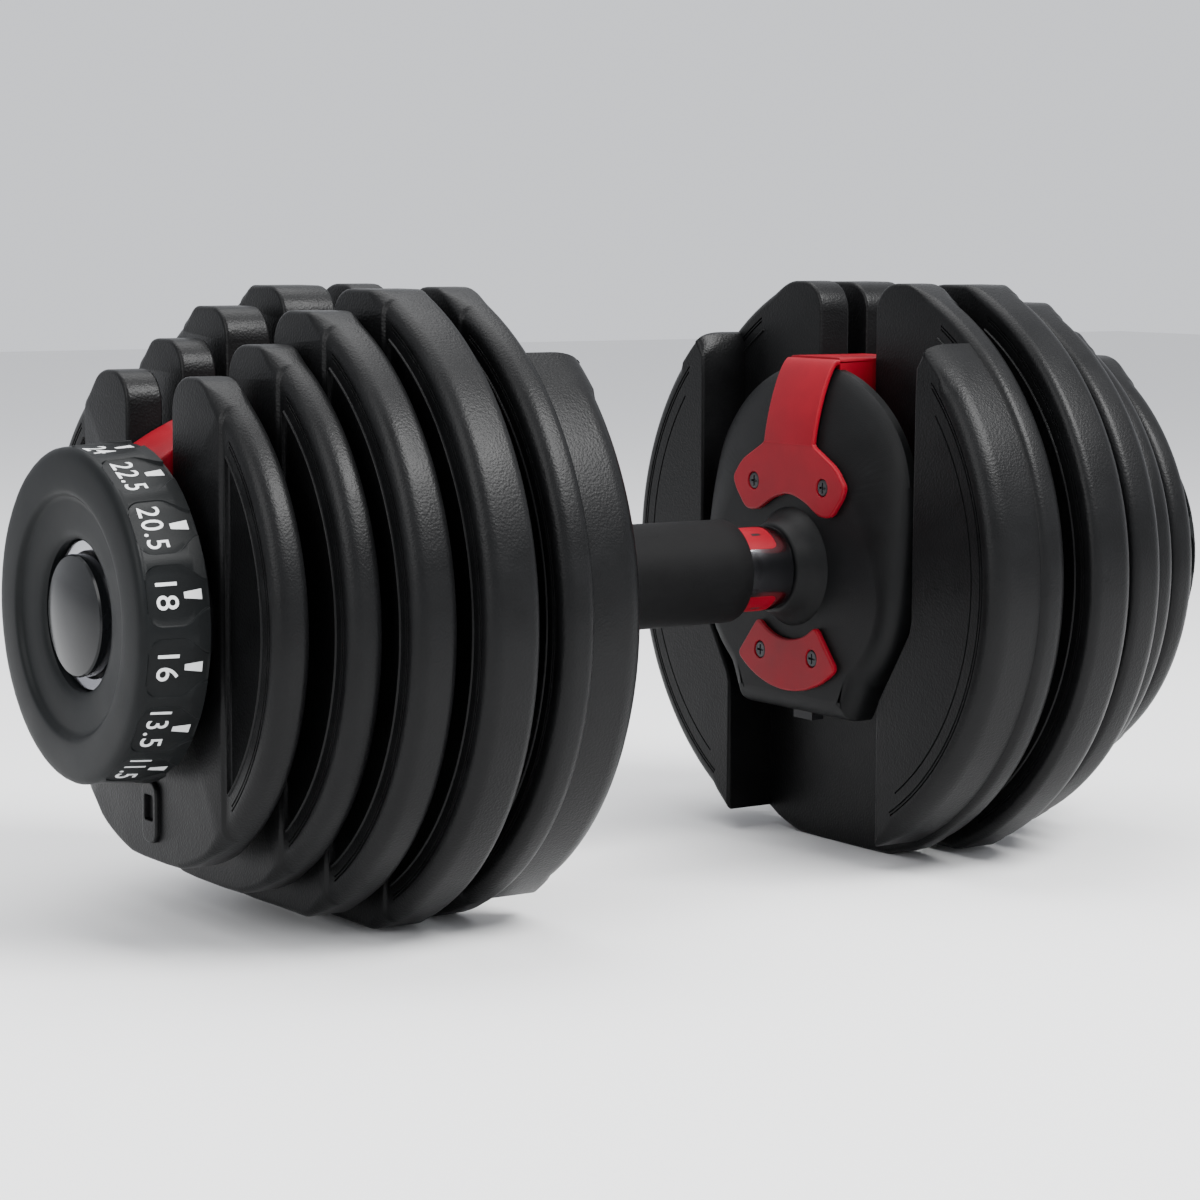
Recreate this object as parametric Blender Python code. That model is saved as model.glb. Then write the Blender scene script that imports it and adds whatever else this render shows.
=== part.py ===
"""Adjustable dumbbell with a selector dial at each end and five weight plates a side.

The grip lies along X, Z is up, and the lowest flat of the largest plates is at Z = 0.
Both ends hold the same pieces: the left end (-X) is the right end turned half a turn
about Z. Every piece is drawn once, with x counted outwards from the middle of the grip
and y and z counted from the grip's axis.
"""

import math

import bmesh
import bpy
from mathutils import Matrix, Vector

MM = 0.001
GAP = 0.3  # left between pieces that touch
BEVEL_ANGLE = 50.0
SMOOTH_ANGLE = 35.0
SKIN = 0.01  # keeps the faces of joined solids out of each other's planes

# Grip and shaft
AXIS_HEIGHT = 95.8
SHAFT_R = 6.0
SHAFT_END = 196.6
TUBE_R = 11.0
TUBE_END = 51.4
GRIP_R = 17.0
GRIP_END = 33.4
GRIP_SIDES = 28
COLLAR_R = 13.9
COLLAR_WALL = 1.2
COLLAR_END = 51.6
WINDOW_END = 46.5
WINDOW_CENTRES = (0, 120, 240)  # degrees from +y towards +z
WINDOW_HALF = 27.0

# Frame end plate
FACE_X = 60.7
FRAME_BACK_X = 72.0
FRAME_R = 58.0
FRAME_CENTRE_Z = 9.0
FRAME_HALF_WIDTH = 53.0
FRAME_BOTTOM_Z = -49.0
FRAME_FOOT_HALF = 30.0
FRAME_ROUNDING = 6.0
FRAME_ROUND_STEPS = 2
BOSS_TIP_X = 52.0
BOSS_TIP_R = 14.6
BOSS_ROOT_R = 20.0

# Red bracket and bridge
BRACKET_X = 58.7
BRACKET_BACK_X = FACE_X - GAP
BRACKET_R0 = 24.2
BRACKET_R1 = 42.5
TOP_SPAN = (43.0, 137.0)
LOWER_SPAN = (-130.0, -50.0)
UPPER_SCREWS = (18.5, 27.4)
LOWER_SCREWS = (14.0, -29.3)
BRIDGE_HALF_WIDTH = 13.2
BRIDGE_WALL = 2.4
BRIDGE_SKIN = 2.4
WALL_FLOOR_Z = 38.6
LEG_X = 175.9
LEG_BACK_X = 178.9
LEG_R = 16.5
LEG_BORE_R = 11.5

# Screws
SCREW_HEAD_R = 2.8
SCREW_SIDES = 10
SCREW_SHANK_R = 1.5
SCREW_LENGTH = 9.0
HEAD_POCKET = 1.2

# Weight plates, from the dial inwards: middle and half of the thickness, rim radius,
# top and bottom, and the floor of the round recess in the inner face.
PLATES = (
    dict(mid=168.0, half=5.9, r=75.6, top=69.0, bottom=-74.0, web_in=165.2),
    dict(mid=150.1, half=5.7, r=84.8, top=77.8, bottom=-82.8, web_in=147.2),
    dict(mid=133.6, half=7.4, r=94.4, top=87.3, bottom=-89.3, web_in=131.5),
    dict(mid=112.4, half=9.1, r=101.0, top=93.4, bottom=-94.4, web_in=111.0),
    dict(mid=89.6, half=6.1, r=98.8, top=93.8, bottom=-95.8, web_in=83.5),
)
RECESS_DEPTH = 4.2
RECESS_R = 40.0
RECESS_SIDES = 24
POCKET_HALF_GAP = 43.0
POCKET_RIM = 10.0
POCKET_DEPTH = 2.0
CUT_OVERRUN = 5.0
SLOT_R = 14.3
SLOT_CORNER = 10.0
LOBE_ROUNDING = 14.0
FOOT_ROUNDING = 10.0
RIM_BEVEL = 2.6
TAB_HALF_WIDTH = 5.0
TAB_R = (27.0, 32.0)
TAB_DEPTH = 2.6

# Raised block on the inner face of the largest plate, round the frame end plate
BLOCK_X = 65.3
BLOCK_R = 97.2
BLOCK_TOP_ANGLE = 51.0
BLOCK_TOP = ((59.6, 75.2), (58.0, 72.6), (57.0, 67.6), (56.8, 61.0))
BLOCK_HALF_GAP = 56.6
BLOCK_HALF_GAP_LOW = 39.8
BLOCK_SLOPE_Z = (-15.0, -42.0)
BLOCK_BEVEL = 2.6
BLOCK_ROOT = 2.0

# Selector discs
DISC_R = 37.0
DISC_SIDES = 30
HUB_SIDES = 12
FLANGE_R = 33.0
DISC_SETBACK = 3.0
DISC_THICKNESS = 2.4
HUB_R = 11.0
HEX_R = 8.4  # across corners, outside of the drive tube
HEX_TUBE_START = 73.2
HEX_TUBE_END = 190.8
HEX_TUBE_BORE = 6.4
SETTINGS = 15
STEP = 360.0 / SETTINGS
# Plates carried at each dial setting, lightest setting first; 1 is the plate at the dial.
CARRIED = (
    (),
    (1,),
    (2,),
    (1, 2),
    (4,),
    (1, 4),
    (2, 4),
    (1, 2, 4),
    (2, 3, 4),
    (5,),
    (2, 5),
    (4, 5),
    (2, 4, 5),
    (2, 3, 4, 5),
    (1, 2, 3, 4, 5),
)

# Index wheel and lock pin
WHEEL_X = 77.0
WHEEL_RIM_X = 74.2
NOTCH_R = 35.4
NOTCH_HALF = 4.5  # degrees
PIN_X = (66.6, 71.4)
PIN_HALF_WIDTH = 5.0
PIN_HEAD_HALF = 7.4
PIN_Z = (-51.6, -38.3, -30.6)
TOOTH_X = 73.0
TOOTH_Z = (-32.6, -30.6)
TOOTH_HALF_WIDTH = 1.6
POCKET_X = 66.2
POCKET_CEILING = -18.0
SPRING_X = 69.0
SPRING_R = 1.9
SPRING_WIRE = 0.35
SPRING_Z = (-29.8, -18.7)
SPRING_TURNS = 5

# Dial
DIAL_BACK = 179.6
DIAL_R = 49.9
DIAL_FRONT = 200.6
DIAL_SIDES = 36
RING_SIDES = 24
WELL_R = 22.2
WELL_FLOOR = 191.6
DIAL_BORE_R = 9.2
NUT_X = (191.9, 196.0)
NUT_R = 9.0
RING_X = (192.0, 197.2)
RING_R = (18.2, 21.9)
CAP_R = 17.6
CAP_X = (196.9, 200.2)

BLACK_PLASTIC = ("black_plastic", (0.016, 0.017, 0.019), 0.5, 0.0)
PLATE_COAT = ("plate_coat", (0.012, 0.0125, 0.014), 0.45, 0.0)
DIAL_PLASTIC = ("dial_plastic", (0.02, 0.021, 0.023), 0.42, 0.0)
RED_PLASTIC = ("red_plastic", (0.42, 0.012, 0.02), 0.4, 0.0)
GRIP_RUBBER = ("grip_rubber", (0.02, 0.02, 0.022), 0.6, 0.0)
STEEL = ("steel", (0.55, 0.56, 0.58), 0.35, 1.0)
CHROME = ("chrome", (0.8, 0.8, 0.82), 0.12, 1.0)
BLACK_STEEL = ("black_steel", (0.03, 0.03, 0.032), 0.4, 0.8)
GLOSS_BLACK = ("gloss_black", (0.01, 0.01, 0.012), 0.12, 0.0)
NYLON = ("nylon", (0.1, 0.1, 0.11), 0.5, 0.0)


def clear_scene():
    for obj in list(bpy.data.objects):
        bpy.data.objects.remove(obj)


def material(look):
    name, colour, roughness, metallic = look
    found = bpy.data.materials.get(name)
    if found:
        return found
    made = bpy.data.materials.new(name)
    made.use_nodes = True
    shader = made.node_tree.nodes["Principled BSDF"]
    shader.inputs["Base Color"].default_value = (*colour, 1.0)
    shader.inputs["Roughness"].default_value = roughness
    shader.inputs["Metallic"].default_value = metallic
    return made


def arc(centre_y, centre_z, radius, start, end, steps):
    """Points on an arc, with angles in degrees from +y towards +z, both ends included."""
    points = []
    for k in range(steps + 1):
        angle = math.radians(start + (end - start) * k / steps)
        points.append((centre_y + radius * math.cos(angle), centre_z + radius * math.sin(angle)))
    return points


def circle(radius, count, centre=(0.0, 0.0), first=0.0):
    return arc(centre[0], centre[1], radius, first, first + 360.0 * (count - 1) / count, count - 1)


def rectangle(y0, y1, z0, z1):
    return [(y0, z0), (y1, z0), (y1, z1), (y0, z1)]


def sector(r0, r1, start, end, steps):
    return arc(0, 0, r1, start, end, steps) + arc(0, 0, r0, end, start, steps)


def object_from(bm, name, look):
    bmesh.ops.recalc_face_normals(bm, faces=bm.faces)
    mesh = bpy.data.meshes.new(name)
    bm.to_mesh(mesh)
    bm.free()
    mesh.transform(Matrix.Scale(MM, 4))
    mesh.materials.append(material(look))
    mesh.shade_smooth()
    mesh.set_sharp_from_angle(angle=math.radians(SMOOTH_ANGLE))
    obj = bpy.data.objects.new(name, mesh)
    bpy.context.scene.collection.objects.link(obj)
    return obj


def filled(loops, place):
    """A bmesh of the flat region between an outer loop and its holes."""
    bm = bmesh.new()
    edges = []
    for loop in loops:
        verts = [bm.verts.new(place(a, b)) for a, b in loop]
        edges += [bm.edges.new((verts[k - 1], verts[k])) for k in range(len(verts))]
    bmesh.ops.triangle_fill(bm, use_beauty=True, edges=edges)
    return bm


def thickened(bm, step):
    grown = bmesh.ops.extrude_face_region(bm, geom=bm.faces[:])
    moved = [item for item in grown["geom"] if isinstance(item, bmesh.types.BMVert)]
    bmesh.ops.translate(bm, verts=moved, vec=step)
    return bm


def prism(name, look, outline, x0, x1, holes=()):
    """A slab with its outline in the YZ plane, from x0 to x1."""
    bm = filled([outline, *holes], lambda y, z: (x0, y, z))
    return object_from(thickened(bm, Vector((x1 - x0, 0, 0))), name, look)


def side_prism(name, look, outline, y0, y1):
    """A slab with its outline in the XZ plane, from y0 to y1."""
    bm = filled([outline], lambda x, z: (x, y0, z))
    return object_from(thickened(bm, Vector((0, y1 - y0, 0))), name, look)


def turned(name, look, profile, count):
    """A closed profile of (x, radius) points turned about the grip's axis."""
    bm = bmesh.new()
    rings = []
    for x, radius in profile:
        if radius == 0:
            rings.append([bm.verts.new((x, 0, 0))] * count)
            continue
        rings.append([bm.verts.new((x, y, z)) for y, z in circle(radius, count)])
    for inner, outer in zip(rings, rings[1:] + rings[:1]):
        for k in range(count):
            corners = (inner[k - 1], inner[k], outer[k], outer[k - 1])
            corners = list(dict.fromkeys(corners))
            if len(corners) > 2:
                bm.faces.new(corners)
    return object_from(bm, name, look)


def helper(obj):
    obj.hide_render = True
    obj.display_type = "WIRE"
    obj.hide_viewport = False
    return obj


def combine(obj, other, operation):
    helper(other)
    step = obj.modifiers.new(operation.lower(), "BOOLEAN")
    step.operation = operation
    step.solver = "EXACT"
    step.object = other
    return obj


def bevel(obj, width):
    step = obj.modifiers.new("rounding", "BEVEL")
    step.width = width * MM
    step.segments = 1
    step.limit_method = "ANGLE"
    step.angle_limit = math.radians(BEVEL_ANGLE)
    return obj


def settled(obj):
    """Turns the object's modifiers into its mesh, so that both ends can share it."""
    graph = bpy.context.evaluated_depsgraph_get()
    mesh = bpy.data.meshes.new_from_object(obj.evaluated_get(graph))
    bm = bmesh.new()
    bm.from_mesh(mesh)
    bmesh.ops.dissolve_degenerate(bm, dist=1e-6, edges=bm.edges)
    bm.to_mesh(mesh)
    bm.free()
    helpers = [step.object for step in obj.modifiers if step.type == "BOOLEAN"]
    obj.modifiers.clear()
    obj.data = mesh
    for other in helpers:
        bpy.data.objects.remove(other)
    return obj


def empty(name, parent=None, height=0.0, turn=0.0):
    made = bpy.data.objects.new(name, None)
    made.empty_display_size = 0.03
    made.location = (0, 0, height * MM)
    made.rotation_euler = (0, 0, math.radians(turn))
    made.parent = parent
    bpy.context.scene.collection.objects.link(made)
    return made


def plate_outline(plate):
    """Round plate with a flat foot and a slot that is open at the top."""
    r, top, bottom = plate["r"], plate["top"], plate["bottom"]
    foot_y = math.sqrt((r - FOOT_ROUNDING) ** 2 - (-bottom - FOOT_ROUNDING) ** 2)
    foot_angle = math.degrees(math.atan2(bottom + FOOT_ROUNDING, foot_y))
    lobe_y = math.sqrt((r - LOBE_ROUNDING) ** 2 - (top - LOBE_ROUNDING) ** 2)
    lobe_angle = math.degrees(math.atan2(top - LOBE_ROUNDING, lobe_y))
    corner_y = SLOT_R + SLOT_CORNER
    half = [(0.0, bottom)]
    half += arc(foot_y, bottom + FOOT_ROUNDING, FOOT_ROUNDING, -90, foot_angle, 2)
    half += arc(0, 0, r, foot_angle, lobe_angle, 11)[1:-1]
    half += arc(lobe_y, top - LOBE_ROUNDING, LOBE_ROUNDING, lobe_angle, 90, 2)
    half += arc(corner_y, top - SLOT_CORNER, SLOT_CORNER, 90, 180, 3)
    half += arc(0, 0, SLOT_R, 0, -90, 4)
    return half[:-1] + [(0.0, -SLOT_R)] + [(-y, z) for y, z in reversed(half[1:-1])]


def weight_plate(number):
    """Thick plate with a crescent pocket each side, round recesses and the tab that a disc carries."""
    plate = PLATES[number - 1]
    inner, outer = plate["mid"] - plate["half"], plate["mid"] + plate["half"]
    face = outer - RECESS_DEPTH
    body = prism("weight_plate_%d" % number, PLATE_COAT, plate_outline(plate), inner, outer)
    settled(bevel(body, RIM_BEVEL))
    pocket_r = plate["r"] - POCKET_RIM
    half_angle = math.degrees(math.acos(POCKET_HALF_GAP / pocket_r))
    for middle in (0.0, 180.0):
        crescent = arc(0, 0, pocket_r, middle - half_angle, middle + half_angle, 8)
        combine(body, prism("pocket", STEEL, crescent, outer - POCKET_DEPTH, outer + CUT_OVERRUN), "DIFFERENCE")
    round_cut = circle(RECESS_R, RECESS_SIDES)
    combine(body, prism("outer_recess", STEEL, round_cut, face, outer + CUT_OVERRUN), "DIFFERENCE")
    if plate["web_in"] > inner:
        cut = prism("inner_recess", STEEL, round_cut, inner - CUT_OVERRUN, plate["web_in"])
        combine(body, cut, "DIFFERENCE")
    tab = rectangle(-TAB_HALF_WIDTH, TAB_HALF_WIDTH, -TAB_R[1], -TAB_R[0])
    combine(body, prism("tab", PLATE_COAT, tab, face - 1.0, face + TAB_DEPTH), "UNION")
    if number == len(PLATES):
        for side in (1, -1):
            combine(body, frame_block(side), "UNION")
    return settled(body)


def frame_block(side):
    """Raised part of the largest plate beside the frame end plate."""
    foot_angle = -math.degrees(math.acos(BLOCK_HALF_GAP_LOW / BLOCK_R))
    outline = arc(0, 0, BLOCK_R, foot_angle, BLOCK_TOP_ANGLE, 10)
    outline += [*BLOCK_TOP, (BLOCK_HALF_GAP, BLOCK_SLOPE_Z[0]), (BLOCK_HALF_GAP_LOW, BLOCK_SLOPE_Z[1])]
    outline = [(side * y, z) for y, z in outline]
    block = prism("block", PLATE_COAT, outline, BLOCK_X, PLATES[-1]["web_in"] + BLOCK_ROOT)
    return settled(bevel(block, BLOCK_BEVEL))


def flange_angles(number):
    """Runs of whole steps round the disc where its flange carries this plate."""
    starts = []
    for setting, carried in enumerate(CARRIED):
        if number in carried:
            starts.append(-90.0 - STEP * (SETTINGS - 1 - setting))
    cells = sorted(round(start / STEP * 2) % (2 * SETTINGS) for start in starts)
    runs = []
    for cell in cells:
        if runs and cell == runs[-1][1] + 2:
            runs[-1][1] = cell
        else:
            runs.append([cell, cell])
    if len(runs) > 1 and runs[0][0] + 2 * SETTINGS == runs[-1][1] + 2:
        runs[0][0] = runs.pop()[0] - 2 * SETTINGS
    return [((first - 1) * STEP / 2, (last + 1) * STEP / 2) for first, last in runs]


def hexagon(radius):
    return circle(radius, 6)


def selector_disc(number):
    """Disc keyed to the drive tube, with a flange where it carries its plate."""
    plate = PLATES[number - 1]
    face = plate["mid"] + plate["half"] - RECESS_DEPTH
    x0 = face + DISC_SETBACK
    hub_end = DIAL_BACK - GAP
    if number > 1:
        outer = PLATES[number - 2]
        hub_end = outer["mid"] + outer["half"] - RECESS_DEPTH + DISC_SETBACK - GAP
    bore = hexagon(HEX_R + GAP)
    name = "selector_disc_%d" % number
    disc = prism(name, NYLON, circle(DISC_R, DISC_SIDES), x0, x0 + DISC_THICKNESS, [bore])
    hub = prism("hub", NYLON, circle(HUB_R, HUB_SIDES), x0 + 0.5, hub_end, [bore])
    combine(disc, hub, "UNION")
    for start, end in flange_angles(number):
        steps = round((end - start) / (STEP / 2))
        wall = sector(FLANGE_R, DISC_R - SKIN, start, end, steps)
        flange = prism("flange", NYLON, wall, face + 0.4, x0 + 0.5)
        combine(disc, flange, "UNION")
    return settled(disc)


def index_wheel():
    """Wheel with fifteen notches inside its rim, which the lock pin's tooth faces."""
    bore = hexagon(HEX_R + GAP)
    outline = circle(DISC_R, DISC_SIDES)
    wheel = prism("index_wheel", NYLON, outline, WHEEL_X, WHEEL_X + DISC_THICKNESS, [bore])
    hub_end = PLATES[-1]["mid"] + PLATES[-1]["half"] - RECESS_DEPTH + DISC_SETBACK - GAP
    hub = prism("hub", NYLON, circle(HUB_R, HUB_SIDES), HEX_TUBE_START, hub_end, [bore])
    combine(wheel, hub, "UNION")
    inside = []
    for k in range(SETTINGS):
        middle = -90.0 + STEP * k
        inside += arc(0, 0, NOTCH_R, middle - NOTCH_HALF, middle + NOTCH_HALF, 1)
        inside += arc(0, 0, FLANGE_R, middle + NOTCH_HALF, middle + STEP - NOTCH_HALF, 1)
    rim = prism("rim", NYLON, circle(DISC_R - SKIN, DISC_SIDES), WHEEL_RIM_X, WHEEL_X + 0.5, [inside])
    return settled(combine(wheel, rim, "UNION"))


def frame_outline(inset=0.0):
    """Round end plate, straight at the sides, with a flat foot."""
    radius = FRAME_R - inset
    side_angle = math.degrees(math.acos((FRAME_HALF_WIDTH - inset) / radius))
    foot_half = FRAME_FOOT_HALF - 0.6 * inset
    foot_z = FRAME_BOTTOM_Z + inset
    foot_angle = math.degrees(math.atan2(foot_z + 8.0 - FRAME_CENTRE_Z, foot_half + 9.0))
    half = [(0.0, foot_z), (foot_half, foot_z)]
    half += arc(0, FRAME_CENTRE_Z, radius, foot_angle, -side_angle - 4, 2)
    half += arc(0, FRAME_CENTRE_Z, radius, side_angle, 90, 7)
    return half + [(-y, z) for y, z in reversed(half[1:-1])]


def lofted(name, look, sections):
    """A solid through outlines with equal point counts, given as (x, outline)."""
    bm = bmesh.new()
    rings = [[bm.verts.new((x, y, z)) for y, z in outline] for x, outline in sections]
    for inner, outer in zip(rings, rings[1:]):
        for k in range(len(inner)):
            bm.faces.new((inner[k - 1], inner[k], outer[k], outer[k - 1]))
    bm.faces.new(rings[0])
    bm.faces.new(rings[-1])
    return object_from(bm, name, look)


def end_plate():
    """Frame plate with its cone boss, shaft bore, screw holes and the lock pin's pocket."""
    sections = [(FRAME_BACK_X, frame_outline())]
    for step in range(FRAME_ROUND_STEPS + 1):
        angle = math.radians(90.0 * step / FRAME_ROUND_STEPS)
        x = FACE_X + FRAME_ROUNDING * (1 - math.sin(angle))
        sections.append((x, frame_outline(FRAME_ROUNDING * (1 - math.cos(angle)))))
    plate = lofted("end_plate", BLACK_PLASTIC, sections)
    boss = turned(
        "boss",
        BLACK_PLASTIC,
        [
            (BOSS_TIP_X, TUBE_R + GAP),
            (BOSS_TIP_X, BOSS_TIP_R),
            (FACE_X - 3.0, 17.2),
            (FACE_X + 0.2, BOSS_ROOT_R),
            (FACE_X + 1.0, BOSS_ROOT_R),
            (FACE_X + 1.0, TUBE_R + GAP),
        ],
        24,
    )
    combine(plate, boss, "UNION")
    combine(plate, prism("bore", STEEL, circle(SHAFT_R + GAP, 16), FACE_X - 2.0, FRAME_BACK_X + 2.0), "DIFFERENCE")
    for y, z in screw_places():
        hole = circle(SCREW_SHANK_R + GAP, SCREW_SIDES, (y, z))
        combine(plate, prism("hole", STEEL, hole, FACE_X - 1.0, BRACKET_X + SCREW_LENGTH + 1.0), "DIFFERENCE")
    head = PIN_HEAD_HALF + GAP
    stem = PIN_HALF_WIDTH + GAP
    ledge = PIN_Z[1] - GAP
    pocket = [(-stem, FRAME_BOTTOM_Z - 5.0), (stem, FRAME_BOTTOM_Z - 5.0), (stem, ledge), (head, ledge)]
    pocket += [(head, POCKET_CEILING), (-head, POCKET_CEILING), (-head, ledge), (-stem, ledge)]
    combine(plate, prism("pocket", STEEL, pocket, POCKET_X, FRAME_BACK_X + 2.0), "DIFFERENCE")
    return settled(plate)


def screw_places():
    places = []
    for y, z in (UPPER_SCREWS, LOWER_SCREWS):
        places += [(y, z), (-y, z)]
    return places


def cut_screw_seats(obj, places):
    for y, z in places:
        hole = circle(SCREW_SHANK_R + GAP, SCREW_SIDES, (y, z))
        combine(obj, prism("hole", STEEL, hole, BRACKET_X - 1.0, BRACKET_BACK_X + 0.5), "DIFFERENCE")
        seat = circle(SCREW_HEAD_R + GAP, SCREW_SIDES, (y, z))
        combine(obj, prism("seat", STEEL, seat, BRACKET_X - 1.0, BRACKET_X + HEAD_POCKET), "DIFFERENCE")


def shoulder(radius, start, end):
    """Points (x, z) over the end plate's rounded top edge."""
    centre_x = FACE_X + FRAME_ROUNDING
    centre_z = FRAME_CENTRE_Z + FRAME_R - FRAME_ROUNDING
    return arc(centre_x, centre_z, radius, start, end, 3)


def bridge_top():
    """The bridge's upper line in (x, z), from the end plate's face to the dial."""
    line = [(BRACKET_X, 38.0), *shoulder(FACE_X + FRAME_ROUNDING - BRACKET_X, 180, 90)]
    line += [(100.0, 69.4), (128.0, 64.5), (154.0, 57.0), (167.0, 51.4)]
    return line + [(LEG_BACK_X - 2.2, 45.6), (LEG_BACK_X, 43.0)]


def bridge_under():
    """The skin's lower line, from the leg back to the bracket's foot."""
    line = [(LEG_BACK_X, 30.0), (LEG_X, 30.0), (LEG_X, 43.6), (166.0, 49.2), (153.4, 54.6)]
    line += [(127.5, 62.1), (99.8, 67.0), (FRAME_BACK_X, 67.5)]
    line += shoulder(FRAME_ROUNDING + 0.5, 90, 170)
    return line + [(BRACKET_BACK_X, 60.0), (BRACKET_BACK_X, 38.0)]


def bridge():
    """Bracket on the end plate, channel over the discs and leg behind the dial, in one piece."""
    half = BRIDGE_HALF_WIDTH
    body = side_prism("bridge", RED_PLASTIC, bridge_top() + bridge_under(), -half, half)
    foot = sector(BRACKET_R0, BRACKET_R1, TOP_SPAN[0], TOP_SPAN[1], 10)
    foot_piece = prism("foot", RED_PLASTIC, foot, BRACKET_X, BRACKET_BACK_X)
    combine(body, foot_piece, "UNION")
    wall = [(FRAME_BACK_X + 1.0, WALL_FLOOR_Z), (FRAME_BACK_X + 1.0, 68.2), (99.9, 68.2), (127.8, 63.3)]
    wall += [(153.7, 55.8), (166.5, 50.3), (LEG_X + 1.0, 44.4), (LEG_X + 1.0, WALL_FLOOR_Z)]
    for side in (1, -1):
        inner, outer = side * (half - BRIDGE_WALL), side * (half - SKIN)
        combine(body, side_prism("wall", RED_PLASTIC, wall, min(inner, outer), max(inner, outer)), "UNION")
    leg = [(half - SKIN, 31.0), (-half + SKIN, 31.0)] + arc(0, 0, LEG_R, 180, 360, 10)
    bore = circle(LEG_BORE_R, 16)
    combine(body, prism("leg", RED_PLASTIC, leg, LEG_X + SKIN, LEG_BACK_X - SKIN, [bore]), "UNION")
    cut_screw_seats(body, screw_places()[:2])
    return settled(body)


def lower_bracket():
    outline = sector(BRACKET_R0, BRACKET_R1 - 1.0, LOWER_SPAN[0], LOWER_SPAN[1], 8)
    body = prism("lower_bracket", RED_PLASTIC, outline, BRACKET_X, BRACKET_BACK_X)
    cut_screw_seats(body, screw_places()[2:])
    return settled(body)


def screw():
    head = BRACKET_X + 0.2
    neck = BRACKET_X + HEAD_POCKET - GAP
    tip = BRACKET_X + SCREW_LENGTH
    profile = [(head, 0), (head, SCREW_HEAD_R), (neck, SCREW_HEAD_R), (neck, SCREW_SHANK_R)]
    profile += [(tip - 1.0, SCREW_SHANK_R), (tip, 0.6), (tip, 0)]
    return turned("bracket_screw", BLACK_STEEL, profile, SCREW_SIDES)


def lock_pin():
    """Spring-loaded slider with a foot below the end plate and a tooth reaching towards the index wheel."""
    foot, ledge, top = PIN_Z
    outline = [(-PIN_HALF_WIDTH, foot), (PIN_HALF_WIDTH, foot), (PIN_HALF_WIDTH, ledge), (PIN_HEAD_HALF, ledge)]
    outline += [(PIN_HEAD_HALF, top), (-PIN_HEAD_HALF, top), (-PIN_HEAD_HALF, ledge), (-PIN_HALF_WIDTH, ledge)]
    pin = prism("lock_pin", NYLON, outline, *PIN_X)
    tooth = rectangle(-TOOTH_HALF_WIDTH, TOOTH_HALF_WIDTH, *TOOTH_Z)
    combine(pin, prism("tooth", NYLON, tooth, PIN_X[1] - 1.0, TOOTH_X), "UNION")
    return settled(pin)


def lock_spring():
    """Coil spring between the lock pin and the ceiling of its pocket."""
    bm = bmesh.new()
    per_turn, sides = 8, 4
    low, high = SPRING_Z[0] + SPRING_WIRE, SPRING_Z[1] - SPRING_WIRE
    count = per_turn * SPRING_TURNS
    rings = []
    for k in range(count + 1):
        turn = 2 * math.pi * k / per_turn
        out = Vector((math.cos(turn), math.sin(turn), 0))
        centre = Vector((SPRING_X, 0, low + (high - low) * k / count)) + out * SPRING_R
        ring = []
        for s in range(sides):
            angle = 2 * math.pi * s / sides
            offset = out * math.cos(angle) + Vector((0, 0, 1)) * math.sin(angle)
            ring.append(bm.verts.new(centre + offset * SPRING_WIRE))
        rings.append(ring)
    for a, b in zip(rings, rings[1:]):
        for s in range(sides):
            bm.faces.new((a[s - 1], a[s], b[s], b[s - 1]))
    bm.faces.new(rings[0])
    bm.faces.new(rings[-1])
    return object_from(bm, "lock_spring", STEEL)


def dial():
    """Cup with a dished face; its back is open and its hub is keyed to the drive tube."""
    profile = [
        (DIAL_BACK, DIAL_R - 3.0),
        (DIAL_BACK, DIAL_R),
        (196.8, DIAL_R - 1.2),
        (199.4, 47.6),
        (DIAL_FRONT, 43.0),
        (199.4, 30.0),
        (197.4, WELL_R + 0.5),
        (196.4, WELL_R),
        (WELL_FLOOR, WELL_R),
        (WELL_FLOOR, DIAL_BORE_R),
        (DIAL_BACK, DIAL_BORE_R),
        (DIAL_BACK, 13.0),
        (187.4, 14.0),
        (189.2, 42.0),
        (191.0, DIAL_R - 3.0),
    ]
    return turned("dial", DIAL_PLASTIC, profile, DIAL_SIDES)


def dial_ring():
    (x0, x1), (r0, r1) = RING_X, RING_R
    profile = [(x0, r0), (x0, r1), (x1 - 0.6, r1), (x1, r1 - 0.7), (x1, r0 + 0.6), (x1 - 0.6, r0)]
    return turned("dial_ring", CHROME, profile, RING_SIDES)


def dial_cap():
    """Domed cap in the ring, over the shaft's nut."""
    x0, x1 = CAP_X
    profile = [(x0, 0), (x0, CAP_R - 0.8), (x0 - 3.0, CAP_R - 0.8), (x0 - 3.0, CAP_R), (x0 + 0.8, CAP_R)]
    profile += [(x0 + 1.8, CAP_R - 1.6), (x1 - 0.6, 10.0), (x1, 0)]
    return turned("dial_cap", GLOSS_BLACK, profile, RING_SIDES)


def drive_tube():
    bore = circle(HEX_TUBE_BORE, HUB_SIDES)
    return prism("drive_tube", STEEL, hexagon(HEX_R), HEX_TUBE_START, HEX_TUBE_END, [bore])


def shaft_nut():
    return prism("shaft_nut", STEEL, hexagon(NUT_R), *NUT_X, [circle(SHAFT_R + GAP, HUB_SIDES)])


def grip_collar():
    """Metal sleeve with three windows that open towards the grip."""
    start = GRIP_END + GAP
    bore = circle(COLLAR_R - COLLAR_WALL, GRIP_SIDES)
    ring = prism("grip_collar", STEEL, circle(COLLAR_R, GRIP_SIDES), start, COLLAR_END, [bore])
    for centre in WINDOW_CENTRES:
        window = sector(COLLAR_R - 3.0, COLLAR_R + 3.0, centre - WINDOW_HALF, centre + WINDOW_HALF, 4)
        combine(ring, prism("window", STEEL, window, start - 1.0, WINDOW_END), "DIFFERENCE")
    return settled(ring)


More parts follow.
